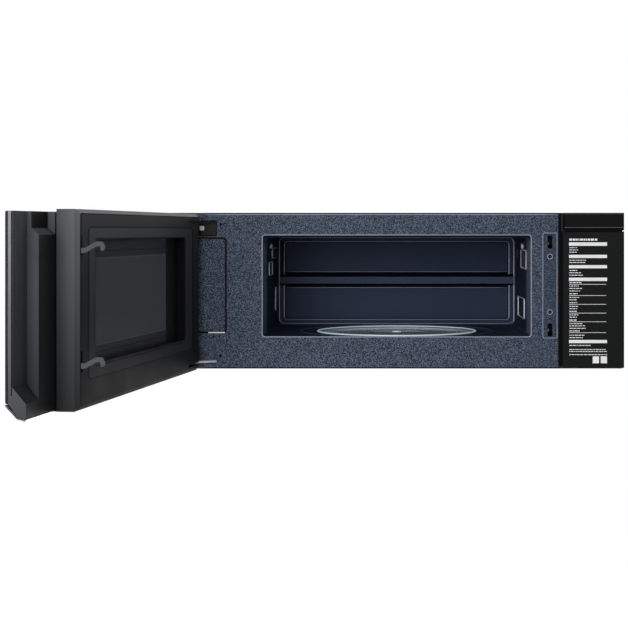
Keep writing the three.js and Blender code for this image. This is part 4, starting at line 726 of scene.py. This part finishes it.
# painted highlights: light rims, rounded boxes on the plate and on the oven's back wall
rims = {
    "MouthRim": {"along": (-0.2265, 0.2265), "z": (-0.0778, 0.0940), "radius": 0.0052, "width": 0.0017,
                 "height": 0.0003, "face": "plate", "finish": rimHighlight},
    "LatchStripRim": {"along": plate["strip"][0], "z": plate["strip"][1], "radius": 0.0022, "width": 0.0012,
                      "height": 0.0003, "face": "plate", "finish": rimHighlight},
    "BackWallRim": {"along": (-0.2243, 0.2243), "z": (-0.0765, 0.0880), "radius": 0.010, "width": 0.0022,
                    "height": 0.0009, "face": "backWall", "finish": liningRimHighlight},
    "PressedRim": {"along": (-0.2150, 0.2150), "z": (-0.0689, 0.0803), "radius": 0.006, "width": 0.0018,
                   "height": 0.0006, "face": "backWall", "finish": liningRimHighlight},
}
for name, rim in rims.items():
    drawLoop(name, rim, onPlate, face[rim["face"]], "body")
refinish("BackWallRim", liningShine, {"side": (0.2225, far), "z": (-0.075, 0.085)})
refinish("PressedRim", liningShine, {"side": (0.2135, far), "z": (-0.064, 0.076)})

# straight beads on the front, dark joints and light painted highlights: from (x, z), to (x, z), face, width,
# height, finish
frontLines = {
    "PlateTopEdge": ((-0.3230, 0.1299), (0.2765, 0.1299), "plate", 0.0018, 0.00015, seamAndShadeDark),
    "PlateLowEdge": ((-0.3230, -0.1299), (0.2765, -0.1299), "plate", 0.0018, 0.00015, seamAndShadeDark),
    "RibFootUpper": ((-0.2105, 0.0226), (0.2105, 0.0226), "ribFoot", 0.0016, 0.0006, liningRimHighlight),
    "RibFootLower": ((-0.2105, -0.0077), (0.2105, -0.0077), "ribFoot", 0.0016, 0.0006, liningRimHighlight),
    "RecessShine": ((-0.3170, -0.0703), (-0.2890, -0.0703), "plate", 0.0020, 0.0003, printAndHighlightWhite),
    "PlateTopShine": ((-0.3220, 0.1282), (0.2700, 0.1282), "plate", 0.0012, 0.0003, rimHighlight),
    "CapTopShine": ((0.2800, 0.1292), (0.3785, 0.1292), "column", 0.0010, 0.0003, edgeSheen),
    "CapLowShine": ((0.2800, 0.1064), (0.3785, 0.1064), "column", 0.0010, 0.0003, edgeSheen),
    "ColumnTopSeam": ((0.2795, 0.1021), (0.3785, 0.1021), "column", 0.0020, 0.00012, seamAndShadeDark),
}
for name, (start, end, where, width, height, finish) in frontLines.items():
    line = {"from": start, "to": end, "width": width, "height": height, "finish": finish, "steps": 24}
    drawLine(name, line, onPlate, face[where], "body")

# dark gap beside the column
columnGap = {"from": (0.2745, -0.1265), "to": (0.2745, 0.1300), "width": 0.0042, "height": 0.00015}
drawLine("ColumnGap", columnGap, onPlate, face["plate"], "body")

# long joint under the frame's top bevel
bevelJoint = {"from": (0.018, 0.1230), "to": (0.640, 0.1230), "width": 0.0013, "height": 0.00015, "steps": 60}
drawLine("BevelJoint", bevelJoint, onDoor, face["doorInner"], "door")

# painted highlight on the edge of the control strip's wrapped end: (v, z) along its slope, and the way
# outwards at each
stripEdge = {"path": [(-0.0566, -0.1105), (-0.0561, -0.1125), (-0.0424, -0.1270), (-0.0400, -0.1279),
                      (-0.0306, -0.1298)],
             "away": [(-1.0, 0.0), (-0.85, -0.5), (-0.6, -0.8), (-0.3, -0.95), (-0.2, -0.98)],
             "width": 0.0011, "height": 0.0004}
flat, rise = beadRound(np.array(stripEdge["path"]), np.array(stripEdge["away"]), stripEdge["width"],
                       stripEdge["height"])
gridPiece("StripEndEdge", onEnd(flat, rise, face["doorEnd"]), hingeMetalAndEdgeHighlight, "door",
          (False, True), True)

# dark joint on the door's free end, where the front panel meets the moulding
endJoint = {"from": (-0.0484, -0.0990), "to": (-0.0484, 0.1245), "width": 0.0014, "height": 0.00014}
drawLine("EndJoint", endJoint, onEnd, face["doorEnd"], "door")

# upright joints on the door: u, face, from z, to z, width; the corner joint is left out at the two key slots
doorLines = {
    "GripJoint": (0.6505, "grip", -0.1265, 0.1235, 0.0036),
    "CornerJointLow": (0.6378, "doorInner", -0.1225, -0.0816, 0.0042),
    "CornerJointMiddle": (0.6378, "doorInner", -0.0522, 0.0664, 0.0042),
    "CornerJointTop": (0.6378, "doorInner", 0.0958, 0.1215, 0.0042),
}
doorBeadHeight = 0.00012
for name, (u, where, z0, z1, width) in doorLines.items():
    line = {"from": (u, z0), "to": (u, z1), "width": width, "height": doorBeadHeight}
    drawLine(name, line, onDoor, face[where], "door")

# on the door's inner side: painted shade round the key slots, a dark joint round the choke cover,
# and round its window a dark joint with painted shade of the recess wall
slotShade = {"along": (0.6306, 0.6409), "radius": 0.001, "width": 0.0020, "slot": "door_painted_steel"}
doorJointsAndShades = {
    "UpperSlotRim": {**slotShade, "z": (0.0678, 0.0947)},
    "LowerSlotRim": {**slotShade, "z": (-0.0802, -0.0533)},
    "CoverJoint": {"along": (0.0560, 0.6062), "z": (-0.0925, 0.1055), "radius": 0.008, "width": 0.0020,
                   "stretch": (3.6, 1.1), "slot": "door_grey_plastic"},
    "WindowJoint": {"along": (0.1030, 0.5790), "z": (-0.0772, 0.0902), "radius": 0.006, "width": 0.0024,
                    "slot": "door_grey_plastic"},
}
for name, joint in doorJointsAndShades.items():
    drawLoop(name, {**joint, "height": doorBeadHeight}, onDoor, face["doorInner"], "door")

# on the plate: a dark joint with painted shade of its walls round the recess, and a dark joint round the
# upper hinge's slot
plateJointsAndShades = {
    "RecessJoint": {"along": (-0.3350, -0.2872), "z": (-0.0703, 0.0887), "radius": 0.006, "width": 0.0027,
                    "height": 0.00014},
    "HingeSlotJoint": {"along": (-0.3300, -0.3032), "z": (0.0925, 0.1172), "radius": 0.001, "width": 0.0018,
                       "height": 0.00014},
}
for name, joint in plateJointsAndShades.items():
    drawLoop(name, joint, onPlate, face["plate"], "body")

# latch screws' painted highlight rings and painted shade, dark dimples near the hinges: centre, radius,
# width, height, finish
screwAt = {"upper": (0.2579, 0.0575), "lower": (0.2579, -0.0360)}
rings = {
    "UpperLatchRing": (screwAt["upper"], 0.0040, 0.0015, 0.0003, rimHighlight),
    "LowerLatchRing": (screwAt["lower"], 0.0040, 0.0015, 0.0003, rimHighlight),
    "UpperScrewShade": (screwAt["upper"], 0.0022, 0.0022, 0.0002, seamAndShadeDark),
    "LowerScrewShade": (screwAt["lower"], 0.0022, 0.0022, 0.0002, seamAndShadeDark),
    "UpperDimple": ((-0.2958, 0.1115), 0.0012, 0.0024, 0.0002, seamAndShadeDark),
    "LowerDimple": ((-0.2963, -0.1095), 0.0012, 0.0024, 0.0002, seamAndShadeDark),
}
for name, (centre, radius, width, height, finish) in rings.items():
    away = circle(28)
    flat, rise = beadRound(np.array(centre) + radius * away, away, width, height)
    gridPiece(name, onPlate(flat, rise, face["plate"]), finish, "body")
print("rims and joints drawn")


# side walls: pressed guides, of the left wall (-1) or the right (1), from y, to y, from z, to z
guides = {
    "LeftUpper": (-1, -0.189, -0.092, 0.051, 0.0693),
    "LeftMiddle": (-1, -0.259, -0.189, 0.0217, 0.045),
    "LeftLow": (-1, -0.110, -0.098, -0.0471, -0.0042),
    "RightUpper": (1, -0.308, -0.193, 0.0346, 0.0666),
    "RightLow": (1, -0.263, -0.120, -0.055, -0.020),
}
guideBead = {"radius": 0.004, "stretch": (4.0, 1.0), "width": 0.0024, "height": 0.0020, "finish": guideShine}
for name, (side, y0, y1, z0, z1) in guides.items():
    box = {**guideBead, "along": (y0, y1), "z": (z0, z1)}
    drawLoop(name + "Guide", box, onSide, side * face["sideWall"], "body")

# round stud on either wall, turned from (radius, height)
stud = {"y": -0.238, "z": 0.0736, "steps": 24,
        "profile": [(0.0, 0.0045), (0.003, 0.0045), (0.0042, 0.0038), (0.0046, 0.0026), (0.0046, 0.0)]}
for name, side in (("LeftWallStud", -1), ("RightWallStud", 1)):
    turned = lathe(stud["profile"], (stud["y"], stud["z"], 0), stud["steps"])
    onWall = onSide(turned, turned[..., 2], side * face["sideWall"])
    gridPiece(name, onWall, guideShine, "body", (True, False), True)
print("side wall details in place")


# glass tray, turned from a profile of (radius, height), with a glowing rim and mark as painted highlights,
# and lugs at its middle
trayShape = {"centre": (0, -0.215, 0), "top": -0.0780, "low": -0.0845, "steps": 160, "wellSteps": 120,
             "markSteps": 60, "lugs": 3, "lugFrom": 60, "lugOut": 0.012, "lugSteps": 20}
trayTop, trayLow, trayMiddle = trayShape["top"], trayShape["low"], trayShape["centre"]
trayProfile = [(0.0, trayLow), (0.060, trayLow), (0.112, trayLow), (0.121, trayLow + 0.0002),
               (0.130, trayLow + 0.0008), (0.1375, trayLow + 0.0024), (0.1415, trayTop - 0.0022),
               (0.1425, trayTop - 0.0010), (0.1422, trayTop - 0.0003), (0.1410, trayTop),
               (0.1395, trayTop - 0.0006), (0.134, trayLow + 0.0042), (0.128, trayLow + 0.0036),
               (0.110, trayLow + 0.0032), (0.060, trayLow + 0.0032), (0.022, trayLow + 0.0032),
               (0.020, trayLow + 0.0036), (0.010, trayLow + 0.0038), (0.0, trayLow + 0.0038)]
tray = gridPiece("TurnedTray", lathe(trayProfile, trayMiddle, trayShape["steps"]), finishes["tray_glass"],
                 "tray", (True, False))
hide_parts("glass_tray")

# painted highlight round the edge of the tray's well
wellRim = [(0.1708, -0.0785), (0.1712, -0.0780), (0.1720, -0.0778), (0.1728, -0.0780), (0.1732, -0.0785)]
gridPiece("WellRim", lathe(wellRim, trayMiddle, trayShape["wellSteps"]), liningRimHighlight, "body")

rimProfile = [(0.1386, trayTop - 0.0008), (0.1398, trayTop + 0.0003), (0.1413, trayTop + 0.0006),
              (0.1426, trayTop - 0.0001), (0.1430, trayTop - 0.0014), (0.1418, trayTop - 0.0018)]
gridPiece("TrayRim", lathe(rimProfile, trayMiddle, trayShape["steps"]), trayRimGlow, "tray")

markProfile = [(0.0040, trayLow + 0.0037), (0.0046, trayLow + 0.0046), (0.0065, trayLow + 0.0050),
               (0.0084, trayLow + 0.0046), (0.0090, trayLow + 0.0037)]
gridPiece("TrayMark", lathe(markProfile, trayMiddle, trayShape["markSteps"]), trayRimGlow, "tray")

lugProfile = [(0.0, trayLow + 0.001), (0.003, trayLow + 0.001), (0.003, trayLow - 0.0034),
              (0.0024, trayLow - 0.004), (0.0, trayLow - 0.004)]
for number in range(trayShape["lugs"]):
    angle = math.radians(trayShape["lugFrom"] + 360 / trayShape["lugs"] * number)
    out = trayShape["lugOut"] * np.array([math.cos(angle), math.sin(angle), 0])
    lug = lathe(lugProfile, trayMiddle + out, trayShape["lugSteps"])
    gridPiece("TrayLug" + str(number + 1), lug, finishes["tray_glass"], "tray", (True, False))
print("tray turned")


# printed card on the column: plain bars, rules, squares and dashes, with no words. Its places are pixels of
# the picture: axis is the pixel that the camera looks along, and scale is a pixel's size on the column's face
card = {
    "thick": 0.00006, "scale": 0.0016672, "axis": (396.4, 230.96), "seed": 7,
    "solid": {"x": (569.0, 607.0), "y": ((242.3, 245.8), (254.8, 258.0), (265.1, 268.3), (277.6, 281.0),
                                         (339.9, 343.1))},
    "rule": {"x": (569.2, 606.2), "y": (284.3, 295.5, 304.3, 313.1, 321.7, 332.6), "half": 0.2},
    "square": {"x": (592.7, 600.7), "y": (356.3, 363.2), "wide": 6.3},
    "dash": {"left": 569.4, "long": (0.9, 3.4), "gap": (0.45, 0.8), "rest": 0.8},
    "title": {"y": 239.6, "tall": 2.0, "end": 597.6},
    "line": {"tall": 0.75, "yAndEnd": (
        (247.7, 577), (249.9, 578), (252.2, 577), (260.2, 586), (262.5, 586), (270.4, 577), (272.7, 581),
        (275.2, 583), (286, 579), (288.4, 582), (290.9, 580), (297.4, 579), (299.8, 578), (306.3, 578),
        (308.6, 577), (314.9, 579), (317.2, 577), (323.6, 583), (325.8, 585), (328.3, 587), (335.2, 585),
        (337.6, 583), (345.4, 592), (349.5, 606), (351.5, 607), (354.6, 607))},
    "note": {"y": (282.6, 293.7, 302.6, 311.3, 320.0, 330.9), "tall": 0.9, "end": (576, 586)},
}
dice = np.random.default_rng(card["seed"])
printed = []


def printBar(left, right, top, foot):
    # one bar of the card from pixels: x = camera x + (px - axis) scale, z = camera z - (py - axis) scale
    x = view["at"][0] + (np.array([left, right]) - card["axis"][0]) * card["scale"]
    z = view["at"][2] - (np.array([foot, top]) - card["axis"][1]) * card["scale"]
    printed.append([*x, *z])


def printDashes(middle, tall, end):
    # a broken line of short dashes of uneven length, up to the end that was measured
    dash = card["dash"]
    at = dash["left"]
    while at < end - dash["rest"]:
        long = dice.uniform(*dash["long"])
        printBar(at, min(at + long, end), middle - tall / 2, middle + tall / 2)
        at += long + dice.uniform(*dash["gap"])


for top, foot in card["solid"]["y"]:
    printBar(*card["solid"]["x"], top, foot)
for middle in card["rule"]["y"]:
    printBar(*card["rule"]["x"], middle - card["rule"]["half"], middle + card["rule"]["half"])
for left in card["square"]["x"]:
    printBar(left, left + card["square"]["wide"], *card["square"]["y"])
printDashes(card["title"]["y"], card["title"]["tall"], card["title"]["end"])
for middle, end in card["line"]["yAndEnd"]:
    printDashes(middle, card["line"]["tall"], end)
for middle in card["note"]["y"]:
    printDashes(middle, card["note"]["tall"], dice.uniform(*card["note"]["end"]))

# each bar is a thin box half in the column's face: its four corners at the front, then at the back
outline = np.array(printed)[:, [0, 2, 1, 2, 1, 3, 0, 3]].reshape(-1, 4, 2)
corners = np.concatenate([onPlate(outline, card["thick"] * side, face["column"] + np.zeros(outline.shape[:2]))
                          for side in (1, -1)], 1)
boxFaces = np.array([(0, 1, 2, 3), (7, 6, 5, 4), (0, 4, 5, 1), (1, 5, 6, 2), (2, 6, 7, 3), (3, 7, 4, 0)])
boxFaces = (boxFaces[None] + 8 * np.arange(len(printed))[:, None, None]).reshape(-1, 4)
cardMesh = bpy.data.meshes.new("PrintedCard")
cardMesh.from_pydata(corners.reshape(-1, 3).tolist(), [], boxFaces.tolist())
cardMesh.materials.append(printAndHighlightWhite)
cardPiece = inScene("PrintedCard", cardMesh)
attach(cardPiece, "body")
print("card printed with", len(printed), "bars and dashes")


# room, light and camera

room = {"floorZ": -1.25, "half": 9.0, "light": 0.17, "backdrop": 1.0, "shadowShare": 0.16,
        "paint": (0.86, 0.86, 0.86, 1), "white": (1, 1, 1, 1), "glow": 1.17}


def seenRays(tree):
    # 1 for what the camera sees, straight or by way of metal and glass
    path = addNode(tree, "ShaderNodeLightPath").outputs
    seen = mathNode(tree, "ADD", path["Is Camera Ray"], path["Is Glossy Ray"])
    return mathNode(tree, "ADD", seen, path["Is Transmission Ray"], True)


def whiteWorld():
    # a white backdrop that lights the object only softly
    world = bpy.data.worlds.new("studio")
    bpy.context.scene.world = world
    world.use_nodes = True
    tree = world.node_tree
    level = rangeNode(tree, seenRays(tree), 0.0, 1.0, room["light"], room["backdrop"])
    tree.links.new(level, tree.nodes["Background"].inputs["Strength"])
    tree.nodes["Background"].inputs["Color"].default_value = room["white"]


def paleFloor():
    # flat square floor; seen by the camera it is nearly white, with a share of its own shading for the shadow
    half, z = room["half"], room["floorZ"]
    corners = [(-half, -half, z), (half, -half, z), (half, half, z), (-half, half, z)]
    mesh = bpy.data.meshes.new("studioFloor")
    mesh.from_pydata(corners, [], [(0, 1, 2, 3)])
    floor = inScene("studioFloor", mesh)
    material = bpy.data.materials.new("floorPaint")
    material.use_nodes = True
    tree = material.node_tree
    tree.nodes.clear()
    share = mathNode(tree, "MULTIPLY", seenRays(tree), 1 - room["shadowShare"])
    paint = addNode(tree, "ShaderNodeBsdfDiffuse", {"Color": room["paint"]})
    glow = addNode(tree, "ShaderNodeEmission", {"Color": room["white"], "Strength": room["glow"]})
    blend = addNode(tree, "ShaderNodeMixShader", {0: share, 1: paint.outputs[0], 2: glow.outputs[0]})
    addNode(tree, "ShaderNodeOutputMaterial", {"Surface": blend.outputs[0]})
    mesh.materials.append(material)


# soft panels of light: where each stands, what it looks at, its two sides and its power in watts
lamps = {
    "frontPanel": {"at": (-0.65, -3.7, 0.42), "to": (0, -0.4, 0), "sides": (1.5, 1.4), "power": 71},
    "backPanel": {"at": (0.6, 2.6, -0.1), "to": (0, -0.1, 0), "sides": (2.0, 1.2), "power": 18},
    "topPanel": {"at": (0.3, -0.3, 2.6), "to": (0, -0.2, 0), "sides": (1.6, 1.2), "power": 9},
    "leftPanel": {"at": (-2.8, 0.6, 0.4), "to": (-0.3, -0.3, 0), "sides": (1.2, 1.0), "power": 24},
    "rightPanel": {"at": (2.4, 2.4, 0.4), "to": (0.3, -0.1, 0), "sides": (1.2, 1.0), "power": 16},
}


def softLamp(name, lamp):
    data = bpy.data.lights.new(name, "AREA")
    data.shape = "RECTANGLE"
    data.size, data.size_y = lamp["sides"]
    data.energy = lamp["power"]
    panel = inScene(name, data)
    panel.location = lamp["at"]
    panel.rotation_euler = (Vector(lamp["to"]) - Vector(lamp["at"])).to_track_quat("-Z", "Y").to_euler()


def photoCamera():
    data = bpy.data.cameras.new("photoCamera")
    data.sensor_width = view["sensor"]
    data.lens = view["lens"]
    data.shift_x, data.shift_y = view["shift"]
    camera = inScene("photoCamera", data)
    camera.location = view["at"]
    camera.rotation_euler = (math.radians(90), 0, 0)
    bpy.context.scene.camera = camera


whiteWorld()
paleFloor()
for name, lamp in lamps.items():
    softLamp(name, lamp)
photoCamera()
bpy.context.scene.view_settings.view_transform = "Standard"
print("room, lamps and camera are in place")
